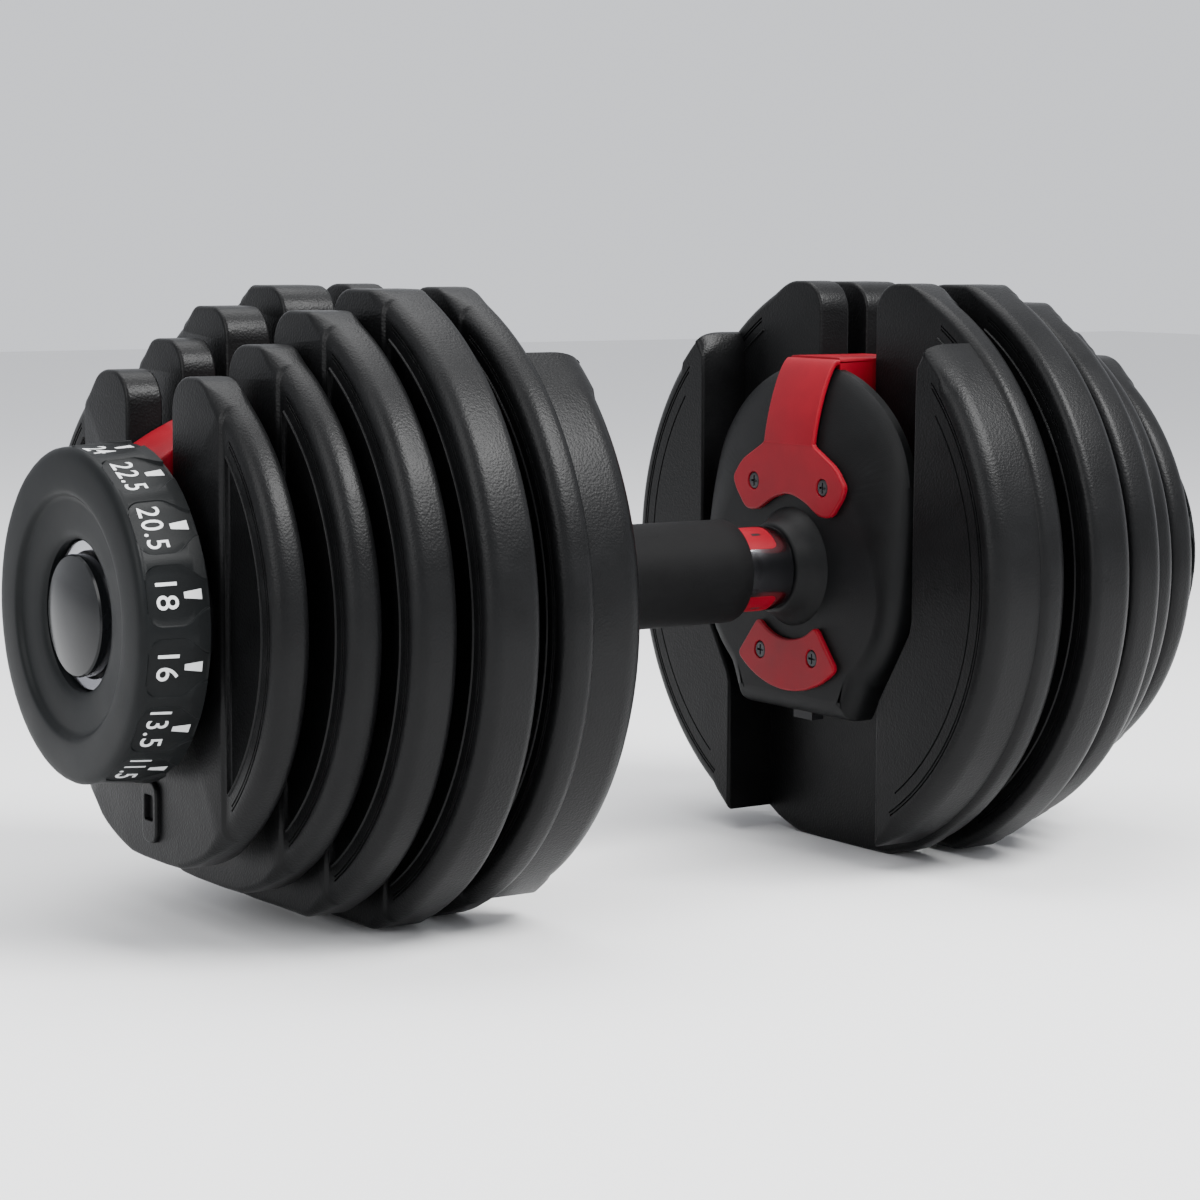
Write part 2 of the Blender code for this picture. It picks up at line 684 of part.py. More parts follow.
def collar_insert():
    """Red sleeve under the collar, with a pad in each of its windows."""
    start, inner = GRIP_END + GAP, TUBE_R + GAP
    base = circle(COLLAR_R - COLLAR_WALL - GAP, GRIP_SIDES)
    body = prism("collar_insert", RED_PLASTIC, base, start, WINDOW_END + 2.0, [circle(inner, GRIP_SIDES)])
    half = WINDOW_HALF - 1.4
    for centre in WINDOW_CENTRES:
        pad = sector(inner + 0.5, COLLAR_R - 0.2, centre - half, centre + half, 4)
        combine(body, prism("pad", RED_PLASTIC, pad, start + 0.01, WINDOW_END - GAP), "UNION")
    return settled(body)


def grip():
    """Rubber sleeve with softened ends."""
    end, inner = GRIP_END, TUBE_R + GAP
    profile = [(-end, inner), (-end, GRIP_R - 1.0), (-end + 1.0, GRIP_R), (end - 1.0, GRIP_R)]
    return turned("grip", GRIP_RUBBER, profile + [(end, GRIP_R - 1.0), (end, inner)], GRIP_SIDES)


def handle_tube():
    profile = [(-TUBE_END, SHAFT_R + GAP), (-TUBE_END, TUBE_R), (TUBE_END, TUBE_R), (TUBE_END, SHAFT_R + GAP)]
    return turned("handle_tube", STEEL, profile, GRIP_SIDES)


def main_shaft():
    profile = [(-SHAFT_END, 0), (-SHAFT_END, SHAFT_R - 0.8), (-SHAFT_END + 0.8, SHAFT_R)]
    profile += [(SHAFT_END - 0.8, SHAFT_R), (SHAFT_END, SHAFT_R - 0.8), (SHAFT_END, 0)]
    return turned("main_shaft", STEEL, profile, HUB_SIDES)


def place(piece, name, parent):
    """A named object at this end, sharing the piece's mesh."""
    made = bpy.data.objects.new(name, piece.data)
    made.parent = parent
    bpy.context.scene.collection.objects.link(made)
    return made


def build():
    clear_scene()
    axis = empty("grip_axis", height=AXIS_HEIGHT)
    for piece in (grip(), handle_tube(), main_shaft()):
        piece.parent = axis
    fixed = [end_plate(), bridge(), lower_bracket(), grip_collar(), collar_insert(), shaft_nut()]
    fixed += [lock_pin(), lock_spring()]
    fixed += [weight_plate(number) for number in range(1, len(PLATES) + 1)]
    turning = [dial(), dial_ring(), dial_cap(), drive_tube(), index_wheel()]
    turning += [selector_disc(number) for number in range(1, len(PLATES) + 1)]
    fastener = screw()
    for side, turn in (("right", 0.0), ("left", 180.0)):
        end = empty(side + "_end", parent=axis, turn=turn)
        spindle = empty(side + "_dial_axis", parent=end)
        for piece in fixed:
            place(piece, "%s_%s" % (side, piece.name), end)
        for piece in turning:
            place(piece, "%s_%s" % (side, piece.name), spindle)
        for number, (y, z) in enumerate(screw_places(), 1):
            made = place(fastener, "%s_bracket_screw_%d" % (side, number), end)
            made.location = (0, y * MM, z * MM)
    for piece in (*fixed, *turning, fastener):
        bpy.data.objects.remove(piece)


build()
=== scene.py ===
"""Looks of the adjustable dumbbell: plates, selector dials, frame, bridge and grip.

Every piece is drawn once in millimetres about the grip's axis, with x counted outwards
from the middle of the grip. The right end uses it as drawn, and the left end uses it
turned half a turn about Z, the way the CAD does.
"""

import math

import bmesh
import bpy
from mathutils import Matrix, Vector


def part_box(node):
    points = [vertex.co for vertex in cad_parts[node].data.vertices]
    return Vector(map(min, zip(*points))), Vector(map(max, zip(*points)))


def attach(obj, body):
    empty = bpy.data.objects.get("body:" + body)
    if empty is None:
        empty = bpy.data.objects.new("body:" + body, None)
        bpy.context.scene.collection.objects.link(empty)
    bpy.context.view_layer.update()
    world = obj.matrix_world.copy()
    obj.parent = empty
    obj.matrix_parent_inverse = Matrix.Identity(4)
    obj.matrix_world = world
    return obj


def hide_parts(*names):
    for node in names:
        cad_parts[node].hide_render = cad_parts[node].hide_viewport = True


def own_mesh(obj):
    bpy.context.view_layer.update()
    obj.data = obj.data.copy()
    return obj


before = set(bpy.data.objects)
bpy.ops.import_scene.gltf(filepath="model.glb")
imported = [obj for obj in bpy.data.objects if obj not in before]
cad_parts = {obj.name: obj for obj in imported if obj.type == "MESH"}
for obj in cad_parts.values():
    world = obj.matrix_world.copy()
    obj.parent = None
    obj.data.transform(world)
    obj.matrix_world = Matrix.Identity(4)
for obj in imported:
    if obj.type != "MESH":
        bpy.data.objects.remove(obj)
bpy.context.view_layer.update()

MM = 0.001
SMOOTH_ANGLE = 32.0
GRIP_LOW, GRIP_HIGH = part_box("grip")
AXIS_Z = (GRIP_LOW.z + GRIP_HIGH.z) / 2
GRIP_END = GRIP_HIGH.x / MM
SIDES = (("right", 0.0), ("left", 180.0))
LATHE_STEPS = 128

# Weight plates
PLATE_R = (75.6, 84.8, 94.4, 101.0, 98.8)
PLATE_WEB = (165.2, 147.2, 131.5, 111.0, 83.5)  # floor of the inner face's recess; on the largest, the face
BAND_HALF = 43.0
BAND_BLEND, EDGE_BLEND = 7.0, 9.0  # widths inside the band's side over which its edges change
CREASE_WIDTH = 1.5
CREASE_STEPS = 4
CREASE_DROP = 1.0
RIM_WIDTH, RIM_HEIGHT = 4.5, 5.0
RIM_STEPS = 44
INNER_WIDTH, INNER_HEIGHT = 3.0, 3.4
LOBE_EDGE = 1.2
FOOT_EDGE = 2.0
ROUND_STEPS = 7
FACE_MARGIN = 0.25  # keeps the shading of a rounded edge off the flat face beside it
SLOT_R = 14.3
SLOT_CORNER = 10.0
LOBE_ROUNDING = 14.0
FOOT_ROUNDING = 10.0
POCKET_RIM = 10.0
POCKET_GAP = 0.12  # from the crease to the pocket's ends
BEAD_GAP, GROOVE_GAP = 1.4, 3.0  # from there to their own ends
RECESS_R = 40.0
RECESS_DEPTH = 4.2
GROOVE_INSETS = (5.1, 6.1)
GROOVE_HALF = 0.3
GROOVE_DEPTH = 0.6
GROOVE_STEPS = ((0.06, 0.15), (0.12, GROOVE_DEPTH))  # (distance in, depth) pairs, as sink takes them
POCKET_STEPS = ((0.1, 0.1), (0.2, 0.6), (0.35, 1.1), (0.9, 1.4))
BEAD_HALF = 0.42
BEAD_HEIGHT = 0.5
BEAD_STEPS = ((0.08, -0.2), (0.2, -0.8 * BEAD_HEIGHT), (0.36, -BEAD_HEIGHT))
OVERRUN = 6.0  # how far cutters reach past the face that they cut

# Raised block of the largest plate
BLOCK_X = 65.3
BLOCK_R = 97.2
BLOCK_TOP_ANGLE = 51.0
BLOCK_HALF_GAP = 56.6
BLOCK_HALF_GAP_LOW = 39.8
BLOCK_WIDTH, BLOCK_HEIGHT = 5.6, 7.0
BLOCK_EDGE = 1.0
BLOCK_OVERLAP = 2.0  # how far its back reaches into the plate
BLOCK_TIP = (3.0, 10.0)  # width and height of its edge at the upper tip
BLOCK_GROOVES = ((6.4, -58.0, 44.5), (7.4, -58.0, 43.5), (11.5, -54.0, 38.5))  # inset and end angles

# Lock mark on the smallest plate's band
LOCK_HALF, LOCK_Z, LOCK_CORNER = 4.7, (-68.5, -50.0), 4.4
LOCK_SLOT_HALF, LOCK_SLOT_Z, LOCK_SLOT_CORNER = 3.0, (-62.0, -54.0), 1.2
LOCK_RISE = 1.5

# Dial
DIAL_BACK = 179.6
DIAL_R = 49.9
SHOULDER_X, SHOULDER_R = 198.5, 48.5
DIAL_BORE_R, DIAL_CAVITY_R = 9.2, 46.9
PAD_STEP = 24.0
PAD_FIRST = 84.0  # angle of the first label's pad, from +y towards +z
PAD_HALF = 10.1
PAD_NECK = 5.6  # how much narrower each side of a pad is at the back edge, in degrees
NECK_LENGTH = 8.5
PAD_SINK = 1.05
PAD_END_X = 198.0
PAD_CORNER = 4.0
LABELS = ("24", "22.5", "20.5", "18", "16", "13.5", "11.5", "10",
          "9", "8", "6.5", "5.5", "4.5", "3.5", "2.5")
DIGIT_HEIGHT = 6.5
DIGIT_X = 191.9
LABEL_WIDEST = 13.4
TICK_X = (181.7, 186.9)
TICK_HALF = (1.5, 0.85)
PRINT_LIFT = 0.1
PRINT_THICKNESS = 0.12
WELL_R, WELL_FLOOR_X = 22.2, 191.6
RING_X = (192.0, 193.4, 194.2)  # back, front at the hole, front at the edge
RING_R = (18.2, 21.9)
CAP_X, CAP_R, CAP_WALL_R = (193.9, 196.9, 197.7), 17.75, 16.8  # x of its rim, inside and shoulder
DOME_X, DOME_R, DOME_DROP, DOME_POWER = 200.0, 17.3, 1.7, 2.2

# Frame end plate and red bracket
FACE_X = 60.7
FRAME_BACK_X = 72.0
FRAME_R = 58.0
FRAME_CENTRE_Z = 9.0
FRAME_SIDE_LIMIT, SIDE_POWER = 54.6, 12.0
FRAME_FOOT_HALF = 30.0
FRAME_BOTTOM_Z = -49.0
FOOT_OUT, FOOT_UP = 9.0, 8.0  # from the foot's corner to the point towards which the round side starts
FRAME_ROUNDING = 6.5
TOP_WIDTH, TOP_HEIGHT = 27.0, 8.6  # the front edge slopes back further at the top
TOP_POWER = 1.38
TOP_START_Z, TOP_BLEND = -14.0, 64.0
TUBE_SEAT_R, SHAFT_BORE_R = 11.3, 6.3
PIN_HALF, PIN_FLANGE_HALF = 5.3, 7.7
POCKET_X = (66.2, 74.0)
POCKET_Z = (-54.0, -38.6, -18.0)  # mouth, ledge and ceiling
BOSS_X, BOSS_BACK_X = 52.0, 62.0
FLUSH = 0.02
STRAP_RISE, STRAP_THICKNESS, STRAP_EDGE = 2.0, 1.8, 0.7
STRAP_STEPS = 18
BRACKET_X = 58.7
BRACKET_BACK_X = 60.4
BRACKET_EDGE = 0.7
LOWER_R, LOWER_END = (24.2, 41.5), -50.0
LOWER_CORNER = 3.2
SCREWS = ((18.5, 27.4), (-18.5, 27.4), (14.0, -29.3), (-14.0, -29.3))
SCREW_HEAD_R = 2.8
BRIDGE_HALF = 13.2
BRIDGE_WALL = 2.4
BRIDGE_ROUND = 1.3
BRIDGE_DEPTH = 9.0  # height of the section whose upper part makes the channel's top
WALL_FLOOR_Z = 38.6
LEG_X, LEG_R, LEG_BORE_R = (175.9, 178.9), 16.5, 11.5
LEG_BORE_DEPTH = 2.9  # blind: 0.1 is left
COLLAR_R = 13.9
COLLAR_START, COLLAR_END = 33.5, 51.6
COLLAR_CORNER = 2.2
WINDOW_END = 46.5
WINDOW_CENTRES = (0, 120, 240)
WINDOW_HALF, WINDOW_CORNER = 26.0, 9.0
# Size and place of the dark patch that paints the shade of the slot in each window pad
SLOT_SHADE_HALF, SLOT_SHADE_CORNER, SLOT_SHADE_X = 2.6, 1.0, (39.0, 42.4)
WINDOW_STEPS = 28

# Lock pin's spring, hanging from the ceiling of its pocket
SPRING_X = 69.0
SPRING_R = 1.9
SPRING_WIRE = 0.35
SPRING_Z = (-29.8, -18.7)
SPRING_TURNS = 5

# Grip sleeve
GRIP_R, GRIP_BORE_R = 16.9, 11.3
GRIP_SWELL = 0.1

# Camera in metres and degrees, with its lens in millimetres, and the light round it
CAMERA_AZIMUTH, CAMERA_ELEVATION, CAMERA_ROLL = -34.23, 6.71, 0.32
CAMERA_DISTANCE = 1.01124
CAMERA_LENS = 95.09
CAMERA_TARGET = (-0.01586, 0.0, -0.0066)  # from the middle of the grip's axis
FLOOR_HALF = 4.0
FLOOR_GREY, FLOOR_ROUGHNESS = 0.80, 0.85
SKY_COLOUR, SKY_STRENGTH = (0.93, 0.95, 1.0), 1.05
LIGHTS = (  # name, place, size, power
    ("key", (0.35, -0.75, 1.05), (0.7, 0.45), 36),
    ("left_fill", (-1.1, -0.35, 0.7), (0.6, 0.9), 11),
    ("top", (0.0, 0.25, 1.2), (1.2, 0.8), 16),
)


# ---------------------------- points and loops
def arc(centre, radius, start, end, steps):
    """Points on an arc, with angles in degrees from +y towards +z, both ends included."""
    points = []
    for k in range(steps + 1):
        angle = math.radians(start + (end - start) * k / steps)
        points.append((centre[0] + radius * math.cos(angle), centre[1] + radius * math.sin(angle)))
    return points


def circle(radius, count, centre=(0.0, 0.0)):
    return arc(centre, radius, 0.0, 360.0 * (count - 1) / count, count - 1)


def at_angle(radius, angle):
    return radius * math.cos(math.radians(angle)), radius * math.sin(math.radians(angle))


def smooth(value):
    value = min(1.0, max(0.0, value))
    return value * value * (3 - 2 * value)


def rectangle(half, low, high):
    return [(-half, low), (half, low), (half, high), (-half, high)]


def neighbours(points, k):
    """Point k of a closed loop, the one before it and the one after it."""
    return (Vector(points[j % len(points)]) for j in (k, k - 1, k + 1))


def round_corner(points, k, radius, share, steps):
    """Curve in place of point k, which takes at most this share of each edge beside it."""
    here, before, after = neighbours(points, k)
    a, b = before - here, after - here
    reach = min(radius, a.length * share, b.length * share)
    start, end = here + a.normalized() * reach, here + b.normalized() * reach
    made = []
    for s in range(steps + 1):
        t = s / steps
        made.append(tuple(start * (1 - t) ** 2 + here * 2 * t * (1 - t) + end * t * t))
    return made


def rounded(points, radius, steps=4):
    """The closed outline with its corners turned into curves of about this radius."""
    made = []
    for k in range(len(points)):
        made += round_corner(points, k, radius, 0.45, steps)
    return made


def rounded_profile(points, radii):
    """A closed (x, radius) profile with each corner rounded by its own radius, and sharp where that is 0."""
    made = []
    for k, radius in enumerate(radii):
        made += round_corner(points, k, radius, 0.48, 5) if radius else [points[k]]
    return made


def area(points):
    total = 0.0
    for (y0, z0), (y1, z1) in zip(points, points[1:] + points[:1]):
        total += y0 * z1 - y1 * z0
    return total / 2


def counter_clockwise(points):
    return list(points) if area(points) > 0 else list(reversed(points))


def inset(points, distances):
    """The counter-clockwise loop moved inwards, by a distance for each point."""
    made = []
    for k in range(len(points)):
        here, before, after = neighbours(points, k)
        a, b = (here - before).normalized(), (after - here).normalized()
        normal = Vector((-a.y - b.y, a.x + b.x))
        normal.normalize()
        lean = max(0.5, normal.dot(Vector((-a.y, a.x))))
        made.append(tuple(here + normal * distances[k] / lean))
    return made


# ---------------------------- mesh building
def ring(bm, points, xs):
    """Vertices of a loop, at one x or at one for each point."""
    if not isinstance(xs, (list, tuple)):
        xs = [xs] * len(points)
    return [bm.verts.new((x, y, z)) for x, (y, z) in zip(xs, points)]


def stitch(bm, a, b):
    for k in range(len(a)):
        bm.faces.new((a[k - 1], a[k], b[k], b[k - 1]))


def cap(bm, loops):
    """Fills the flat region between the first loop and the others."""
    edges = []
    for loop in loops:
        for k in range(len(loop)):
            pair = (loop[k - 1], loop[k])
            edges.append(bm.edges.get(pair) or bm.edges.new(pair))
    bmesh.ops.triangle_fill(bm, use_beauty=True, edges=edges, normal=(1, 0, 0))


def sink(bm, loop, x, towards, steps):
    """A hollow with its mouth on the plane x: steps are (distance in, depth) pairs. Returns its mouth."""
    loop = counter_clockwise(loop)
    rings = [ring(bm, loop, x)]
    for distance, depth in steps:
        rings.append(ring(bm, inset(loop, [distance] * len(loop)), x + towards * depth))
    for a, b in zip(rings, rings[1:]):
        stitch(bm, a, b)
    cap(bm, [rings[-1]])
    return rings[0]


def strip_loop(radius, half, start, end, steps):
    """Thin closed loop along an arc."""
    outer = arc((0, 0), radius + half, start, end, steps)
    inner = arc((0, 0), radius - half, end, start, steps)
    return outer + inner


def edge_curve(share, power):
    """(across, down) of a rounded edge, 0-1 each: power 2 is a circle, less is nearer a chamfer."""
    angle = math.radians(90.0 * share)
    return 1 - math.cos(angle) ** (2 / power), 1 - math.sin(angle) ** (2 / power)


def rounded_slab(bm, outline, x_back, x_face, widths, heights, hollows=(), powers=None):
    """A closed slab whose face edge is rounded; hollows are (loop, steps) pairs sunk into its face."""
    outline = counter_clockwise(outline)
    count = len(outline)
    if not isinstance(widths, (list, tuple)):
        widths = [widths] * count
    if not isinstance(heights, (list, tuple)):
        heights = [heights] * count
    powers = powers or [2.0] * count
    towards = 1 if x_back > x_face else -1
    rings = [ring(bm, outline, x_back)]
    for step in range(ROUND_STEPS + 1):
        places = [edge_curve(step / ROUND_STEPS, power) for power in powers]
        moved = inset(outline, [w * across for w, (across, _) in zip(widths, places)])
        xs = [x_face + towards * h * down for h, (_, down) in zip(heights, places)]
        rings.append(ring(bm, moved, xs))
    rings.append(ring(bm, inset(outline, [w + FACE_MARGIN for w in widths]), x_face))
    for a, b in zip(rings, rings[1:]):
        stitch(bm, a, b)
    cap(bm, [rings[0]])
    mouths = [sink(bm, loop, x_face, towards, steps) for loop, steps in hollows]
    cap(bm, [rings[-1], *mouths])


def lathe(bm, profile):
    """A closed (x, radius) profile turned about the axis."""
    rings = []
    for x, radius in profile:
        if radius == 0:
            rings.append([bm.verts.new((x, 0, 0))] * LATHE_STEPS)
        else:
            rings.append(ring(bm, circle(radius, LATHE_STEPS), x))
    for a, b in zip(rings, rings[1:] + rings[:1]):
        for k in range(LATHE_STEPS):
            corners = list(dict.fromkeys((a[k - 1], a[k], b[k], b[k - 1])))
            if len(corners) > 2:
                bm.faces.new(corners)


def mesh_from(bm, name, look):
    """The finished mesh in metres, smooth except at its sharp edges."""
    bmesh.ops.recalc_face_normals(bm, faces=bm.faces)
    mesh = bpy.data.meshes.new(name)
    bm.to_mesh(mesh)
    bm.free()
    mesh.transform(Matrix.Scale(MM, 4))
    mesh.materials.append(look)
    mesh.shade_smooth()
    mesh.set_sharp_from_angle(angle=math.radians(SMOOTH_ANGLE))
    return mesh


def reopened(mesh):
    """A finished mesh in millimetres again, for more shapes to be added to it."""
    bm = bmesh.new()
    bm.from_mesh(mesh)
    bmesh.ops.scale(bm, vec=(1 / MM,) * 3, verts=bm.verts)
    return bm


def linked(name, data):
    obj = bpy.data.objects.new(name, data)
    bpy.context.scene.collection.objects.link(obj)
    return obj


def cut(mesh, loops):
    """The mesh with slabs (outline, x0, x1) cut away from it."""
    target = linked("target", mesh)
    cutters = []
    for outline, x0, x1 in loops:
        bm = bmesh.new()
        rings = [ring(bm, outline, x0), ring(bm, outline, x1)]
        stitch(bm, *rings)
        bm.faces.new(rings[0])
        bm.faces.new(rings[1])
        cutters.append(linked("cutter", mesh_from(bm, "cutter", mesh.materials[0])))
        step = target.modifiers.new("cut", "BOOLEAN")
        step.operation = "DIFFERENCE"
        step.solver = "EXACT"
        step.object = cutters[-1]
    graph = bpy.context.evaluated_depsgraph_get()
    made = bpy.data.meshes.new_from_object(target.evaluated_get(graph))
    made.name = mesh.name
    for obj in (target, *cutters):
        bpy.data.objects.remove(obj)
    made.shade_smooth()
    made.set_sharp_from_angle(angle=math.radians(SMOOTH_ANGLE))
    return made


# ---------------------------- materials
def shader_node(tree, kind, **values):
    node = tree.nodes.new(kind)
    for name, value in values.items():
        node.inputs[name].default_value = value
    return node


def surface(name, colour, roughness, metallic=0.0, grain=900.0, depth=0.00005, mottling=0.2,
            rough_range=0.08, cells=False, specular=0.5):
    """Moulded or machined surface with fine relief, and colour and gloss that vary a little."""
    look = bpy.data.materials.new(name)
    look.use_nodes = True
    tree = look.node_tree
    shader = tree.nodes["Principled BSDF"]
    shader.inputs["Metallic"].default_value = metallic
    shader.inputs["Specular IOR Level"].default_value = specular
    place = tree.nodes.new("ShaderNodeTexCoord").outputs["Object"]
    patches = shader_node(tree, "ShaderNodeTexNoise", Scale=90.0, Detail=4.0)
    tree.links.new(place, patches.inputs["Vector"])
    tint = tree.nodes.new("ShaderNodeValToRGB")
    tint.color_ramp.elements[0].position = 0.3
    tint.color_ramp.elements[1].position = 0.7
    tint.color_ramp.elements[0].color = (*[c * (1 - mottling) for c in colour], 1)
    tint.color_ramp.elements[1].color = (*[min(1.0, c * (1 + mottling)) for c in colour], 1)
    tree.links.new(patches.outputs["Fac"], tint.inputs["Fac"])
    tree.links.new(tint.outputs["Color"], shader.inputs["Base Color"])
    ends = {"To Min": roughness - rough_range, "To Max": roughness + rough_range}
    spread = shader_node(tree, "ShaderNodeMapRange", **ends)
    tree.links.new(patches.outputs["Fac"], spread.inputs["Value"])
    tree.links.new(spread.outputs["Result"], shader.inputs["Roughness"])
    if cells:
        relief = shader_node(tree, "ShaderNodeTexVoronoi", Scale=grain)
        relief.feature = "SMOOTH_F1"
        height = relief.outputs["Distance"]
    else:
        relief = shader_node(tree, "ShaderNodeTexNoise", Scale=grain, Detail=3.0)
        height = relief.outputs["Fac"]
    tree.links.new(place, relief.inputs["Vector"])
    bump = shader_node(tree, "ShaderNodeBump", Strength=0.6, Distance=depth)
    tree.links.new(height, bump.inputs["Height"])
    tree.links.new(bump.outputs["Normal"], shader.inputs["Normal"])
    return look


PLATE_COAT = surface("plate_coat_grain", (0.0030, 0.0031, 0.0033), 0.40, grain=1500.0, depth=0.00013,
                     cells=True, mottling=0.2, specular=0.125)
BLACK_PLASTIC = surface("frame_plastic", (0.0036, 0.0038, 0.0040), 0.5, grain=2200.0, depth=0.00008,
                        specular=0.13)
DIAL_PLASTIC = surface("dial_shell_plastic", (0.0042, 0.0049, 0.0052), 0.44, grain=2200.0, depth=0.00006,
                       specular=0.1)
RED_PLASTIC = surface("bracket_plastic", (0.19, 0.0022, 0.009), 0.44, grain=1800.0, depth=0.00005,
                      mottling=0.1, specular=0.14)
RUBBER = surface("grip_sleeve_rubber", (0.0034, 0.0034, 0.0036), 0.66, grain=1800.0, depth=0.00012,
                 specular=0.09)
STEEL = surface("machined_steel", (0.40, 0.41, 0.43), 0.3, metallic=1.0, grain=1600.0, depth=0.00001)
CHROME = surface("ring_chrome", (0.30, 0.30, 0.32), 0.16, metallic=1.0, grain=500.0, depth=0.000004,
                 rough_range=0.03, mottling=0.04)
GLOSS = surface("cap_gloss", (0.005, 0.0055, 0.006), 0.16, grain=400.0, depth=0.000004, rough_range=0.04,
                specular=0.2)
SCREW_BLACK = surface("screw_finish", (0.03, 0.03, 0.032), 0.38, metallic=0.7, grain=1500.0, depth=0.00002)
NYLON = surface("mechanism_nylon", (0.010, 0.010, 0.011), 0.5, grain=1500.0, depth=0.00003, specular=0.2)
PRINT = surface("numeral_print", (0.62, 0.63, 0.63), 0.5, grain=2500.0, depth=0.00001, mottling=0.03)


# ---------------------------- weight plates
def plate_numbers(number):
    """The plate's place along the grip and its outline's extent, from the CAD node."""
    low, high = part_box("right_weight_plate_%d" % number)
    inner = low.x / MM
    if number == len(PLATE_R):
        inner = PLATE_WEB[-1]
    return inner, high.x / MM, PLATE_R[number - 1], (high.z - AXIS_Z) / MM, (low.z - AXIS_Z) / MM


def crease_columns():
    """(y, drop) pairs across the crease between the flat band and the crescents."""
    return [(BAND_HALF + CREASE_WIDTH * k / CREASE_STEPS, CREASE_DROP * smooth(k / CREASE_STEPS))
            for k in range(CREASE_STEPS + 1)]


def half_perimeter(r, top, bottom):
    """Right half of the outline as (place, kind, value), from the foot's middle up to the slot's bottom.

    The kinds are band (a free point), column (kept at its own y) and rim (value is its share of the
    crescent's angle)."""
    foot_y = math.sqrt((r - FOOT_ROUNDING) ** 2 - (-bottom - FOOT_ROUNDING) ** 2)
    foot_angle = math.degrees(math.atan2(bottom + FOOT_ROUNDING, foot_y))
    lobe_y = math.sqrt((r - LOBE_ROUNDING) ** 2 - (top - LOBE_ROUNDING) ** 2)
    lobe_angle = math.degrees(math.atan2(top - LOBE_ROUNDING, lobe_y))
    band_angle = math.degrees(math.acos(BAND_HALF / r))
    corner = (SLOT_R + SLOT_CORNER, top - SLOT_CORNER)
    low = [(0.0, bottom), (foot_y * 0.5, bottom)]
    low += arc((foot_y, bottom + FOOT_ROUNDING), FOOT_ROUNDING, -90, foot_angle, 5)
    low += arc((0, 0), r, foot_angle, -band_angle, 7)[1:-1]
    high = arc((0, 0), r, band_angle, lobe_angle, 5)[1:]
    high += arc((lobe_y, top - LOBE_ROUNDING), LOBE_ROUNDING, lobe_angle, 90, 6)[1:]
    high += arc(corner, SLOT_CORNER, 90, 180, 7)
    high += [(SLOT_R, 30.0), (SLOT_R, 12.0)] + arc((0, 0), SLOT_R, 0, -90, 8)
    made = [(p, "band", 0.0) for p in low]
    columns = crease_columns()
    for y, _ in columns:
        made.append(((y, -math.sqrt(r * r - y * y)), "column", y))
    edge = columns[-1][0]
    for k in range(1, RIM_STEPS):
        share = 2 * k / RIM_STEPS - 1
        angle = share * math.acos(edge / r)
        made.append(((r * math.cos(angle), r * math.sin(angle)), "rim", share))
    for y, _ in reversed(columns):
        made.append(((y, math.sqrt(r * r - y * y)), "column", y))
    return made + [(p, "band", 0.0) for p in high]


def whole_perimeter(r, top, bottom):
    half = half_perimeter(r, top, bottom)
    return half + [((-y, z), kind, value) for (y, z), kind, value in reversed(half[1:-1])]


def moved_in(perimeter, r, distances):
    """The perimeter moved inwards: crescents along circles, columns straight down, the band along normals."""
    points = [entry[0] for entry in perimeter]
    free = inset(points, distances)
    edge = crease_columns()[-1][0]
    made = []
    for k, ((y, z), kind, value) in enumerate(perimeter):
        radius = r - distances[k]
        straight = (y, math.copysign(math.sqrt(max(0.0, radius * radius - y * y)), z))
        if kind == "column":
            made.append(straight)
        elif kind == "rim":
            angle = value * math.acos(edge / radius)
            made.append((math.copysign(radius * math.cos(angle), y), radius * math.sin(angle)))
        else:
            on_rim = abs(math.hypot(y, z) - r) < 0.01
            pull = smooth((abs(y) - BAND_HALF + BAND_BLEND) / BAND_BLEND) if on_rim else 0.0
            made.append(tuple(Vector(free[k]) * (1 - pull) + Vector(straight) * pull))
    return made


def edge_sizes(perimeter, rim_size):
    """Rounding of each perimeter point: large along the rim, small on the lobes, the slot and the foot."""
    sizes = []
    for (y, z), kind, _ in perimeter:
        small = FOOT_EDGE if z < 0 and abs(y) > SLOT_R else LOBE_EDGE
        near = 1.0 if kind != "band" else smooth((abs(y) - BAND_HALF + EDGE_BLEND) / EDGE_BLEND)
        if math.hypot(y, z) < BAND_HALF:
            near = 0.0
        sizes.append(small + (rim_size - small) * near)
    return sizes


def crescent_hollows(r, pocket):
    """Pocket, if there is one, bead and double groove of one crescent on the +y side."""
    hollows = []
    edge = crease_columns()[-1][0] + POCKET_GAP
    if pocket:
        pocket_r = r - POCKET_RIM
        reach = math.degrees(math.acos(edge / pocket_r))
        loop = rounded(arc((0, 0), pocket_r, -reach, reach, 40), 0.8, 1)
        hollows.append((loop, POCKET_STEPS))
    radius = r - POCKET_RIM + BEAD_HALF + 0.25
    reach = math.degrees(math.acos((edge + BEAD_GAP) / radius))
    bead = strip_loop(radius, BEAD_HALF, -reach, reach, 44)
    hollows.append((bead, BEAD_STEPS))
    for distance in GROOVE_INSETS:
        radius = r - distance
        reach = math.degrees(math.acos((edge + GROOVE_GAP) / radius))
        loop = strip_loop(radius, GROOVE_HALF, -reach, reach, 44)
        hollows.append((loop, GROOVE_STEPS))
    return hollows


def mirrored(loop, side):
    return [(side * y, z) for y, z in loop]


